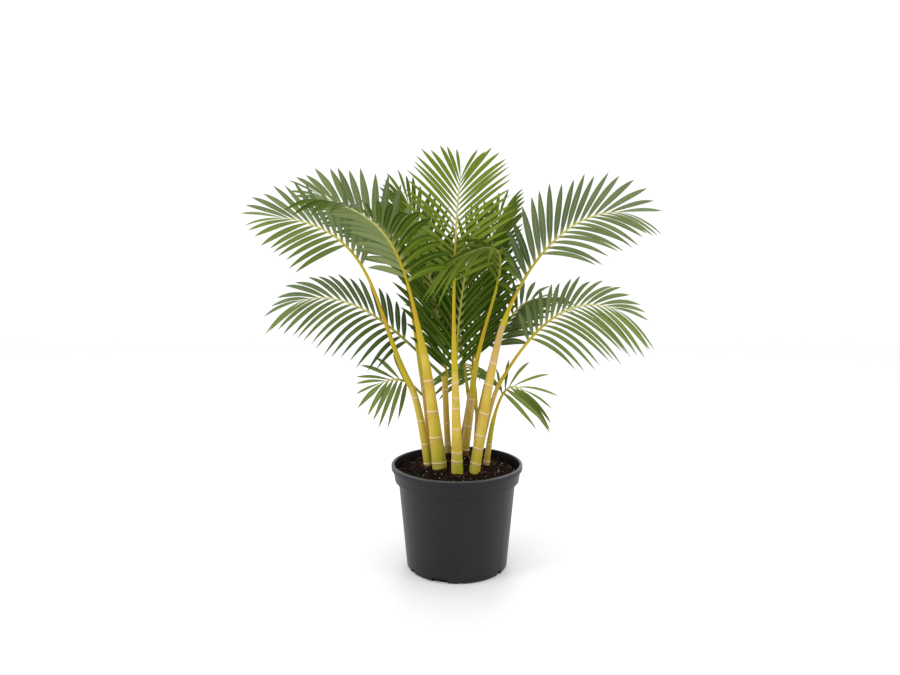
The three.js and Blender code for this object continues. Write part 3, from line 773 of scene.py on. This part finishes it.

# path is the four control points of the midrib, and most of the rest is as in the solids. light is painted
# light and shade from base to tip, grey is how grey the leaflets are, partly their colour and partly
# painted sheen, and young how far the stalk turns dark green at base and tip, partly its colour and partly
# painted shade. A list gives one value to each row of leaflets. Where on isn't given, a frond grows on the
# cane of its name.
usual = {"seat": "top", "roll": (0, 0), "rows": 1, "sweep": 1, "lost": 0, "young": (0, 0)}
fronds = {
    "centre": {
        "path": ((-5, -38, 428), (-11, -40, 554), (-4, -25, 752), (5, -142, 806)),
        "heading": -90, "start": 0.44, "pairs": 18, "length": 152, "width": 12.5,
        "spread": (62, 32), "lift": 10, "droop": 0.1, "fill": 0.66, "light": (0.75, 1.0), "grey": 0.15},
    "right_upper": {
        "path": ((95, -12, 518), (134, -6, 632), (225, 0, 762), (343, 4, 752)),
        "heading": 0, "roll": (65, 68), "start": 0.26, "pairs": 17, "length": 142, "width": 19,
        "spread": (56, 26), "lift": 20, "rows": [0.98, 0.88], "sweep": [1, 1.2], "droop": [0.1, 0.34],
        "fill": [1, 0.62], "lost": [0, 4], "light": [(0.06, 0.72), (0.3, 0.8)], "grey": [0.95, 0.8]},
    "left_outer": {
        "path": ((-98, -2, 389), (-178, -11, 545), (-155, -23, 714), (-360, -24, 740)),
        "heading": 180, "roll": (-75, -66), "start": 0.56, "pairs": 14, "length": 136, "width": 18,
        "spread": (52, 22), "lift": 20, "rows": [0.84, 0.97], "sweep": [1.6, 1], "droop": [0.2, 0.1],
        "fill": [0.62, 1], "lost": [4, 0], "light": [(0.5, 0.8), (0.35, 0.75)], "grey": [0.45, 0.85]},
    "left_front": {
        "path": ((-70, -25, 464), (-103, -37, 616), (-107, -93, 728), (-228, -180, 756)),
        "heading": 250, "roll": (0, -25), "start": 0.38, "pairs": 15, "length": 168, "width": 15,
        "spread": (62, 30), "lift": 4, "rows": [1.08, 0.66], "sweep": [1, 0.85], "droop": [0.34, 0.3],
        "fill": [0.95, 0.84], "light": [(-0.12, 0.12), (0.6, 0.85)], "grey": [0, 0.75]},
    "left_lower": {
        "on": "back_left", "seat": "crown",
        "path": ((-30.6, 58, 401), (-112, 41, 481), (-206, -6, 603), (-324, -15, 570)),
        "young": (1.6, -0.9),
        "heading": 190, "roll": (-58, -58), "start": 0.3, "pairs": 16, "length": 150, "width": 18,
        "spread": (52, 28), "lift": 14, "rows": [0.86, 0.78], "sweep": [1.2, 1], "droop": [0.4, 0.26],
        "fill": [0.62, 1], "light": [(-0.2, 0.74), (-0.3, 0.64)], "grey": [0.6, 0.9]},
    "right_lower": {
        "on": "right_outer",
        "path": ((90, 8, 391), (141, 3, 483), (218, -4, 594), (330, -13, 552)),
        "heading": 0, "roll": (58, 60), "start": 0.34, "pairs": 16, "length": 152, "width": 18,
        "spread": (54, 30), "lift": 12, "rows": [0.76, 0.92], "sweep": [1, 1.15], "droop": [0.3, 0.45],
        "fill": [1, 0.62], "light": [(0.3, 0.9), (0.4, 0.9)], "grey": [0.75, 0.5]},
    "left_upper": {
        "path": ((-75, 25, 406), (-116, 58, 660), (-108, 80, 715), (-310, 128, 802)),
        "heading": 160, "roll": (-60, -50), "start": 0.48, "pairs": 14, "length": 132, "width": 17,
        "spread": (68, 24), "lift": 20, "rows": [0.9, 1.05], "sweep": [0.9, 1], "droop": [0.14, 0.08],
        "fill": [0.84, 1], "light": [(0.3, 0.6), (0.35, 0.65)], "grey": 0.8},
    "small_left": {
        "on": "left_upper", "seat": "side",
        "young": (1.0, -0.4),
        "path": ((-75.48, 21.87, 365.33), (-108, 26, 404), (-130, 10, 406), (-160, -8, 396)),
        "heading": 190, "roll": (-66, -66), "start": 0.4, "pairs": 6, "length": 122, "width": 12,
        "spread": (104, 20), "lift": 6, "rows": [0.84, 0.72], "sweep": [0.92, 0.56], "droop": 0.15,
        "fill": 0.84, "light": (0.45, 0.8), "grey": 0.5},
    "small_right": {
        "on": "right_small",
        "path": ((77, 10, 307), (92, 9, 371), (108, 4, 404), (142, -12, 380)),
        "heading": -10, "roll": (62, 62), "start": 0.5, "pairs": 6, "length": 122, "width": 12,
        "spread": (96, 14), "lift": 4, "rows": [0.8, 0.94], "sweep": [0.5, 1], "droop": 0.22,
        "fill": 0.84, "light": (0.65, 1.0), "grey": 0.45},
    "inner_right": {
        "path": ((34, 35, 372), (45, 15, 550), (178, -60, 758), (-20, -92, 646)),
        "young": (-0.5, 1.1),
        "heading": 200, "roll": (10, 10), "start": 0.54, "pairs": 12, "length": 130, "width": 12,
        "spread": (50, 20), "lift": -16, "rows": [1, 0.9], "droop": 0.5,
        "fill": 0.72, "light": (0, 0.42), "grey": 0.1},
    "back_left": {
        "seat": "crown",
        "path": ((-21.4, 58, 401), (-41, 76, 550), (-71, 121, 687), (-111, 165, 785)),
        "young": (0.5, 0.8), "heading": 115, "start": 0.03, "pairs": 20, "length": 184, "width": 17,
        "spread": (42, 26), "lift": 12, "droop": 0.16, "fill": 0.96, "light": (-0.2, 0.2), "grey": 0.05},
    "back_centre": {
        "seat": "crown",
        "path": ((33.6, 60, 365), (36, 79, 515), (55, 129, 668), (102, 175, 755)),
        "young": (0.5, 0.8), "heading": 60, "start": 0.15, "pairs": 20, "length": 168, "width": 17,
        "spread": (50, 26), "lift": 12, "droop": 0.16, "fill": 0.96, "light": (-0.2, 0.2), "grey": 0.05},
    "back_inner": {
        "on": "back_centre", "seat": "crown",
        "path": ((24.4, 60, 365), (12, 82, 480), (-14, 128, 600), (-60, 200, 690)),
        "young": (0.6, 0.9), "heading": 120, "start": 0.24, "pairs": 16, "length": 156, "width": 17,
        "spread": (58, 30), "lift": 6, "droop": 0.18, "fill": 0.96, "light": (-0.3, 0), "grey": 0},
    "middle": {
        "path": ((-3, 22, 372), (-2, 26, 470), (6, 40, 610), (42, 62, 720)),
        "young": (0.5, 0.8), "heading": 70, "start": 0.1, "pairs": 17, "length": 150, "width": 16,
        "spread": (40, 28), "lift": -14, "droop": 0.12, "fill": 0.9, "light": (-0.3, 0), "grey": 0},
    "back_right": {
        "on": "back_shoot", "seat": "crown",
        "path": ((51.6, 56, 330), (72, 69, 440), (118, 101, 590), (205, 135, 565)),
        "heading": 25, "roll": (20, 20), "start": 0.42, "pairs": 13, "length": 125, "width": 15,
        "spread": (70, 30), "lift": 12, "droop": 0.22, "fill": 0.9, "light": (0.2, 0.5), "grey": 0.7},
    "small_back": {
        "on": "back_shoot", "seat": "crown",
        "path": ((42.4, 56, 330), (45, 68, 380), (34, 98, 433), (13, 150, 417)),
        "heading": 100, "start": 0.45, "pairs": 8, "length": 115, "width": 12,
        "spread": (85, 25), "lift": -25, "droop": 0.45, "fill": 0.84, "light": (0.2, 0.3), "grey": 0.2},
}
fronds = {name: {**usual, "on": name, **given} for name, given in fronds.items()}
for given in fronds.values():
    for key in ("rows", "sweep", "lost", "droop", "fill", "light", "grey"):
        if not isinstance(given[key], list):
            given[key] = [given[key]] * 2


def topOf(name):
    given = canes[name]
    frond = next(each for each in fronds.values() if each["on"] == name and each["seat"] != "side")
    tangent = Line(frond["path"]).tangent(0)
    n, b = frondFrame(frond["heading"], tangent, frond["roll"][0])
    if "crown" in given:
        x, y, z, radius = given["crown"]
        return Vector((x, y, z)), up, n, radius
    return Vector(frond["path"][0]), tangent, n, given["radius"][1]


def caneLine(name):
    foot = canes[name]["foot"]
    centre, tangent, n, radius = topOf(name)
    start = Vector((*foot, soilHeight(*foot) + cane["rise"]))
    end = centre - tangent * soil["gap"]
    pull = end - tangent * cane["lean"] * (end - start).length
    return Line([start, pull, end])


def caneRadius(name, share):
    foot, top = canes[name]["radius"]
    return top + (foot - top) * (1 - share) ** cane["swell"]


def caneMaterial():
    nodes = newMaterial("caneSkin")
    place = nodes.place()
    scar, below, dry = nodes.parts(nodes.attribute("caneMarks", "Vector"))
    # painted shade: the green and tan read here include the greener, less tan right side of each cane
    share, green, tan = nodes.parts(nodes.attribute("caneTone", "Vector"))
    stretched = nodes.vector("MULTIPLY", place, (1, 1, 0.06))
    streak = nodes.noise(stretched, cane["streaks"], 4, 0.6)
    band = nodes.noise(stretched, cane["bands"], 3)
    cloud = nodes.noise(place, cane["clouds"], 4)
    fleck = nodes.step(nodes.noise(place, cane["flecks"], 3, 0.7), 0.66, 0.74)
    gold = nodes.mix(nodes.step(cloud, 0.35, 0.65), cane["gold"], cane["ripe"])
    fresh = 1 - nodes.step(share + cloud * 0.2 - 0.1, 0.02, 0.3)
    olive = nodes.clamped("ADD", fresh * 0.55, nodes.step(band + green * 0.5, 0.62, 0.86) * green)
    body = nodes.mix(olive, gold, cane["green"])
    aged = nodes.clamped("MULTIPLY", nodes.step(band * 0.6 + cloud * 0.4, 0.38, 0.6) * 0.6 + 0.4, tan)
    body = nodes.mix(aged, body, cane["tan"])
    body = nodes.mix(nodes.step(streak, 0.5, 0.8) * 0.4, body, cane["ripe"])
    body = nodes.mix(below * 0.45, body, cane["tan"])
    body = nodes.mix(fleck * 0.35, body, cane["brown"])
    fibres = nodes.mix(nodes.step(streak, 0.4, 0.62), cane["husk"], cane["brown"])
    body = nodes.mix(dry, body, fibres)
    ragged = nodes.clamped("MULTIPLY", scar * (0.75 + streak * 0.6), 1.1)
    colour = nodes.mix(ragged, body, cane["scarColour"])
    relief = streak * 0.5 + cloud * 0.3 + scar * 0.4
    return nodes.finish(colour, 0.34 + ragged * 0.3 + streak * 0.1, 0.16, nodes.bump(relief, 0.35, 0.0012))


def caneRings(name, line, scars):
    stops = set(np.linspace(0, line.length, int(line.length / cane["spacing"]) + 2))
    for scar in scars:
        stops.update(scar + away for away in cane["aroundScar"])
    stops = sorted(stop for stop in stops if 0 <= stop <= line.length)
    centre, tangent, n, topRadius = topOf(name)
    frames = []
    for stop in reversed(stops):
        place, along = line.along(stop)
        n, b = carried(n, along)
        frames.append((stop, place, n, b))
    n, b = carried(n, up)
    foot = Vector((*canes[name]["foot"], soilHeight(*canes[name]["foot"])))
    buried = [(-1, foot - up * depth, n, b) for depth in (cane["depth"], 12, 0)]
    return buried + frames[::-1]


def makeCane(number, name, material):
    given = canes[name]
    line = caneLine(name)
    heights = [line.at(share)[2] for share in line.shares]
    scars = [float(np.interp(height, heights, line.reached)) for height in given["scars"]]
    rings = caneRings(name, line, scars)
    topRadius = topOf(name)[3]
    flareFrom = line.length - cane["flare"]
    points = []
    marks = {"caneMarks": [], "caneTone": []}
    tones = [wobble(number, each, 6) for each in range(len(scars) + 1)]
    for stop, place, n, b in rings:
        share = max(0, stop) / line.length
        radius = caneRadius(name, float(np.interp(max(0, stop), line.reached, line.shares)))
        if stop > flareFrom and "crown" in given:
            radius = mixed(radius, topRadius, ((stop - flareFrom) / cane["flare"]) ** 1.5)
        away = min(abs(stop - scar) for scar in scars)
        bulge = exp(-(away / cane["bulgeWidth"]) ** 2)
        under = min((scar - stop for scar in scars if scar > stop), default=99)
        below = exp(-max(0, under - 2) / cane["belowFade"]) if under > 1.5 else 0
        zone = sum(scar < stop for scar in scars)
        green = mixed(*given["green"], share) + cane["varies"] * tones[zone]
        tan = given["tan"][2] if zone == len(scars) else mixed(*given["tan"][:2], share)
        for k in range(cane["sides"]):
            angle = tau * k / cane["sides"]
            tilt = cane["tilt"] * sin(angle + number) + cane["wave"] * sin(2 * (angle + number))
            local = min(abs(stop - scar + tilt) for scar in scars)
            ring = exp(-(local / cane["ringWidth"]) ** 2)
            reach = radius * (1 + 0.012 * sin(3 * angle + stop * 0.02)) + cane["scar"] * 0.75 * bulge
            out = swung(n, b, angle)
            points.append((place + out * reach) * mm)
            dry = 1 if place.z + 1.2 * sin(5 * angle) < given.get("husk", 0) else 0
            marks["caneMarks"].append((ring, below, dry))
            # painted shade: the side of the cane toward +x, its right, is made greener and less tan
            rightShade = out.x * cane["turned"]
            marks["caneTone"].append((share, max(0, green + rightShade), max(0, tan - rightShade)))
    mesh = meshOf("cane_" + name, points, loftFaces(len(rings), cane["sides"]), marks)
    smooth(mesh, 60)
    piece = objectOf("ringedCane_" + name, mesh, material)
    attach(piece, "root")
    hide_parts("cane_" + name)


skin = caneMaterial()
for number, name in enumerate(canes):
    makeCane(number, name, skin)
print("canes ready")

# The fronds. A leaflet's colour runs from deep to bright with its painted light and shade, and from green
# to grey, which is partly painted sheen.

leafSkin = {
    "deepGreen": (0.036, 0.078, 0.003),
    "brightGreen": (0.27, 0.37, 0.020),
    "deepGrey": (0.054, 0.096, 0.038),
    "paleGrey": (0.29, 0.35, 0.18),
    "through": (0.20, 0.30, 0.012),
    "dryTip": (0.14, 0.09, 0.035),
}

stem = {
    "sides": 14,
    "stations": 26,  # along the bare stalk
    "crownBase": 4.1,
    "sideBase": 2.9,
    "slim": 0.62,  # the stalk's radius over its base's
    "radius": (2.3, 0.9),  # of the midrib, where the leaflets begin and at the tip
    "fullness": ((0, 0.1, 0.3, 0.6, 0.88, 1), (1, 1, 0.55, 0.2, 0.05, 0)),  # of the sheath, by share
    "sideWay": (-0.98, -0.02, -0.17),  # the way a stalk leaves a cane's side
    "sheath": (0.46, 0.37, 0.020),
    "bare": (0.44, 0.345, 0.011),
    "orange": (0.47, 0.30, 0.011),
    "olive": (0.39, 0.325, 0.014),
    "midrib": (0.52, 0.50, 0.14),
    "cream": (0.62, 0.64, 0.34),
    # a dark green for stalks, partly the stalk's own green and partly painted shade
    "young": (0.13, 0.19, 0.015),
    "groove": 0.14,
}


def leafMaterial():
    nodes = newMaterial("leaflets")
    place = nodes.place()
    u, v, w = nodes.parts(nodes.attribute("bladeUvw", "Vector"))
    light, grey, tint = nodes.parts(nodes.attribute("bladeTone", "Vector"))
    patch = nodes.noise(place, 22, 3)
    veins = nodes.math("SINE", v * leaf["veins"]) * 0.5 + 0.5
    fine = nodes.math("SINE", v * leaf["fineVeins"]) * 0.5 + 0.5
    stretched = nodes.noise(place, 190, 2)
    under = nodes.step(w * -1, 0.02, 0.3)
    streaks = veins * 0.1 + fine * 0.05
    # painted light and shade: light, set per row from base to tip, lightens or darkens each leaflet, and v
    # * 0.07 paints one half of each folded blade lighter than the other
    bright = light + streaks + under * 0.08 + v * 0.07
    bright = nodes.clamped("ADD", bright, (tint - 0.5) * 0.3 + (patch - 0.5) * 0.4)
    green = nodes.mix(bright, leafSkin["deepGreen"], leafSkin["brightGreen"])
    # partly painted sheen: the grey colours, paler where light is high, stand for a sheen as well as the
    # leaflets' grey-green
    greyAndSheen = nodes.mix(bright, leafSkin["deepGrey"], leafSkin["paleGrey"])
    body = nodes.mix(grey, green, greyAndSheen)
    rib = 1 - nodes.step(nodes.math("ABSOLUTE", v), 0.03, 0.13)
    body = nodes.mix(rib * (1 - u * 0.6) * 0.45, body, stem["midrib"])
    root = 1 - nodes.step(u, 0.02, 0.14)
    body = nodes.mix(root * 0.5, body, stem["midrib"])
    tip = nodes.step(u + stretched * 0.03, 0.965, 1.01)
    body = nodes.mix(tip * 0.8, body, leafSkin["dryTip"])
    relief = veins * 0.6 + fine * 0.3 + patch * 0.5 - rib * 0.4
    # the translucent share grows with the painted light too
    return nodes.finish(
        body, 0.46 + patch * 0.14 + under * 0.12, 0.05,
        nodes.bump(relief, 0.25, 0.0006), light * 0.25 + 0.16, (*leafSkin["through"], 1))


def stemMaterial():
    nodes = newMaterial("frondStem")
    place = nodes.place()
    share = nodes.attribute("stemShare")
    cloud = nodes.noise(place, 40, 4)
    grain = nodes.noise(place, 480, 3)
    colour = nodes.add("ShaderNodeValToRGB", [share + cloud * 0.06 - 0.03], {"stops": [
        (0.0, stem["sheath"]), (0.14, stem["bare"]), (0.3, stem["orange"]), (0.5, stem["bare"]),
        (0.62, stem["olive"]), (0.74, stem["midrib"]), (1.0, stem["cream"])]})
    colour = nodes.mix(nodes.step(grain, 0.55, 0.8) * 0.3, colour, stem["orange"])
    # the stalk turns a dark green here, partly its own colour and partly painted shade
    colour = nodes.mix(nodes.attribute("stemYoung") * (0.8 + cloud * 0.2), colour, stem["young"])
    return nodes.finish(colour, 0.36 + cloud * 0.12, 0.2, nodes.bump(grain * 0.5 + cloud, 0.2, 0.0008))


def bladeMesh():
    ring = [(1, 0), (0, 1), (-1, 0), (0, -1)]
    count = leaf["stations"]
    places = [0.985 * (k / (count - 1)) ** 0.9 for k in range(count)]
    points = [(u, v, w) for u in places for v, w in ring]
    faces = loftFaces(count, 4)[:-1]
    tip = len(points)
    points.append((1, 0, 0))
    last = (count - 1) * 4
    faces += [(last + k, last + (k + 1) % 4, tip) for k in range(4)]
    return meshOf("blade", points, faces, {"bladeUvw": points})


def feathered(stalk, roots, blade, material):
    nodes, given = newTree("leaflets")
    twist = radians(leaf["twist"])
    places = nodes.add("GeometryNodeObjectInfo", {0: roots}, output="Geometry")
    solid = nodes.copies(places, blade, material)

    def read(name):
        return nodes.add("GeometryNodeInputNamedAttribute", {0: name}, {"data_type": "FLOAT_VECTOR"})

    uvw, start, face = (read(name) for name in ("bladeUvw", "bladeStart", "bladeFace"))
    u, v, w = nodes.parts(uvw)
    length, droop, room = nodes.parts(read("bladeSize"))
    opening, width, phase = nodes.parts(read("bladeRoom"))
    side, lean = nodes.parts(read("bladeSide"))[:2]
    root = nodes.vector("SUBTRACT", nodes.add("GeometryNodeInputPosition"), uvw)
    ahead = nodes.vector("NORMALIZE", nodes.vector("ADD", start, nodes.rise(droop * u * -2)))
    flat = nodes.vector("NORMALIZE", nodes.vector("CROSS_PRODUCT", face, ahead))
    flat = nodes.scaled(flat, lean)
    thick = nodes.scaled(nodes.vector("CROSS_PRODUCT", flat, ahead), lean * -1)
    cosine, sine = cos(twist), sin(twist)
    across = nodes.vector("ADD", nodes.scaled(flat, cosine), nodes.scaled(thick, sine))
    through = nodes.vector("SUBTRACT", nodes.scaled(thick, cosine), nodes.scaled(flat, sine))
    shape = nodes.add("ShaderNodeFloatCurve", {"Value": u}, {"curve": leaf["outline"]})
    half = nodes.math("MINIMUM", room + opening * u, width) * shape * 0.5
    fall = length * (droop * u * u + nodes.math("MAXIMUM", u - leaf["curlFrom"], 0) ** 2 * leaf["curl"])
    centre = nodes.vector("ADD", root, nodes.scaled(start, length * u))
    centre = nodes.vector("ADD", centre, nodes.rise(fall * -1))
    wave = nodes.math("SINE", u * leaf["waves"] + phase) * (leaf["ripple"] * mm) * u
    fold = (nodes.math("ABSOLUTE", v) - 0.5) * half * leaf["fold"]
    body = w * (leaf["thick"] * mm / 2) * (1 - u * 0.6) + fold + wave
    place = nodes.vector("ADD", centre, nodes.scaled(across, side * half * v))
    place = nodes.vector("ADD", place, nodes.scaled(through, body))
    bent = nodes.add("GeometryNodeSetPosition", {"Geometry": solid, "Position": place})
    whole = nodes.add("GeometryNodeJoinGeometry", {0: bent})
    nodes.tree.links.new(given.socket, whole.node.inputs[0])
    return grown(stalk, nodes, whole)


def angleAt(given, side, share):
    past = max(0, (share - leaf["closingFrom"]) / (1 - leaf["closingFrom"]))
    swept = mixed(*given["spread"], max(0, share) ** 0.8) * mixed(given["sweep"][side], 1, past)
    return radians(swept * (1 - leaf["closing"] * past ** 1.5))


def leafletRows(number, name, line, tips):
    given = fronds[name]
    pairs = given["pairs"]
    first = given["start"] * line.length
    stride = (line.length - first) / (2 * pairs)
    twist = radians(leaf["twist"])
    leaflets = []
    missed = 0
    for i in range(2 * pairs):
        row = i % 2
        side = 1 if row else -1
        if i < 2 * given["lost"][row]:
            continue
        share = i / (2 * pairs - 1)
        root, tangent = line.along(first + (i + 0.5) * stride)
        n, b = frondFrame(given["heading"], tangent, mixed(*given["roll"], share))
        before = max(0, (leaf["longest"] - share) / leaf["longest"])
        after = max(0, (share - leaf["longest"]) / (1 - leaf["longest"]))
        fade = 1 - leaf["short"][0] * before ** 2 - leaf["short"][1] * after ** 1.6
        angle = angleAt(given, row, share) + radians(leaf["wander"] * wobble(number, i, 1))
        opening = (angleAt(given, row, share - 1 / pairs) - angleAt(given, row, share + 1 / pairs)) / 2
        full = given["length"] * given["rows"][row] * fade * (1 + leaf["uneven"][0] * wobble(number, i, 2))
        droop = given["droop"][row] * (1 + leaf["uneven"][1] * wobble(number, i, 3))
        out = b * side
        for length, bend in [(full * scale, bend) for scale in leaf["shares"] for bend in leaf["turns"]]:
            fold = radians(given["lift"] + bend)
            start = swung(tangent, swung(out, n, fold), angle)
            if tips.find((root + start * length - up * length * droop) * mm)[2] < leaf["near"] * mm:
                break
        else:
            missed += 1
            continue
        face = swung(n, -out, fold)
        lean = 1 if face.cross(start).dot(tangent) > 0 else -1
        room = given["fill"][row] / cos(twist)
        tint = 0.5 + 0.5 * wobble(number, i, 5)
        leaflets.append({
            "place": root * mm,
            "bladeStart": start,
            "bladeFace": face,
            "bladeSize": (length * mm, droop, room * 2 * stride * sin(angle) * mm),
            "bladeRoom": (room * length * opening * mm, given["width"] * mm, 3 * wobble(number, i, 4)),
            "bladeSide": (side, lean, 0),
            "bladeTone": (mixed(*given["light"][row], share), given["grey"][row], tint),
        })
    print("frond", name, "leaflets", len(leaflets), "left out", missed)
    return {key: [each[key] for each in leaflets] for key in leaflets[0]}


def stalkMesh(name, line):
    given = fronds[name]
    seat = given["seat"]
    bases = {"crown": stem["crownBase"], "side": stem["sideBase"], "top": canes[given["on"]]["radius"][1]}
    base = bases[seat]
    slim = stem["slim"] * max(base, 4)
    first = given["start"] * line.length
    bare = [first * (k / stem["stations"]) for k in range(stem["stations"])]
    stops = bare + list(np.linspace(first, line.length, 4 * given["pairs"]))
    points = []
    marks = {"stemShare": [], "stemYoung": []}
    for stop in stops:
        place, tangent = line.along(stop)
        leafy = max(0, (stop - first) / (line.length - first))
        n, b = frondFrame(given["heading"], tangent, mixed(*given["roll"], leafy))
        if stop == 0 and seat != "top":
            n, b = carried(n, up if seat == "crown" else Vector(stem["sideWay"]))
        if stop < first:
            share = stop / first
            full = float(np.interp(share, *stem["fullness"]))
            radius = mixed(mixed(slim, stem["radius"][0] * 1.3, share), base, full * (1 - share))
        else:
            radius = mixed(*stem["radius"], leafy) * 1.25
        channel = stem["groove"] * min(1, stop / first) ** 2
        young = mixed(*given["young"], stop / line.length)
        for k in range(stem["sides"]):
            angle = tau * k / stem["sides"]
            reach = radius * (1 - channel * max(0, cos(angle)) ** 3)
            points.append((place + swung(n, b, angle) * reach) * mm)
            marks["stemShare"].append(0.5 * min(1, stop / first) + 0.5 * leafy)
            marks["stemYoung"].append(min(1, max(0, young)))
    return meshOf("stalk_" + name, points, loftFaces(len(stops), stem["sides"]), marks)


def makeFrond(number, name, blade, finishes):
    line = Line(fronds[name]["path"])
    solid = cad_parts["frond_" + name].data
    tips = kdtree.KDTree(len(solid.vertices))
    for vertex in solid.vertices:
        tips.insert(vertex.co, vertex.index)
    tips.balance()
    rows = leafletRows(number, name, line, tips)
    places = rows.pop("place")
    roots = objectOf("roots", meshOf("roots", places, [], rows))
    stalk = objectOf("stalk", stalkMesh(name, line), finishes["stem"])
    mesh = feathered(stalk, roots, blade, finishes["leaflets"])
    for spent in ("bladeStart", "bladeFace", "bladeSize", "bladeRoom", "bladeSide"):
        mesh.attributes.remove(mesh.attributes[spent])
    smooth(mesh, 35)
    piece = objectOf("leafyFrond_" + name, mesh)
    discard(roots)
    discard(stalk)
    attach(piece, "root")
    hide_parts("frond_" + name)


finishes = {"leaflets": leafMaterial(), "stem": stemMaterial()}
blade = objectOf("blade", bladeMesh())
for number, name in enumerate(fronds):
    makeFrond(number, name, blade, finishes)
discard(blade)
print("fronds ready")
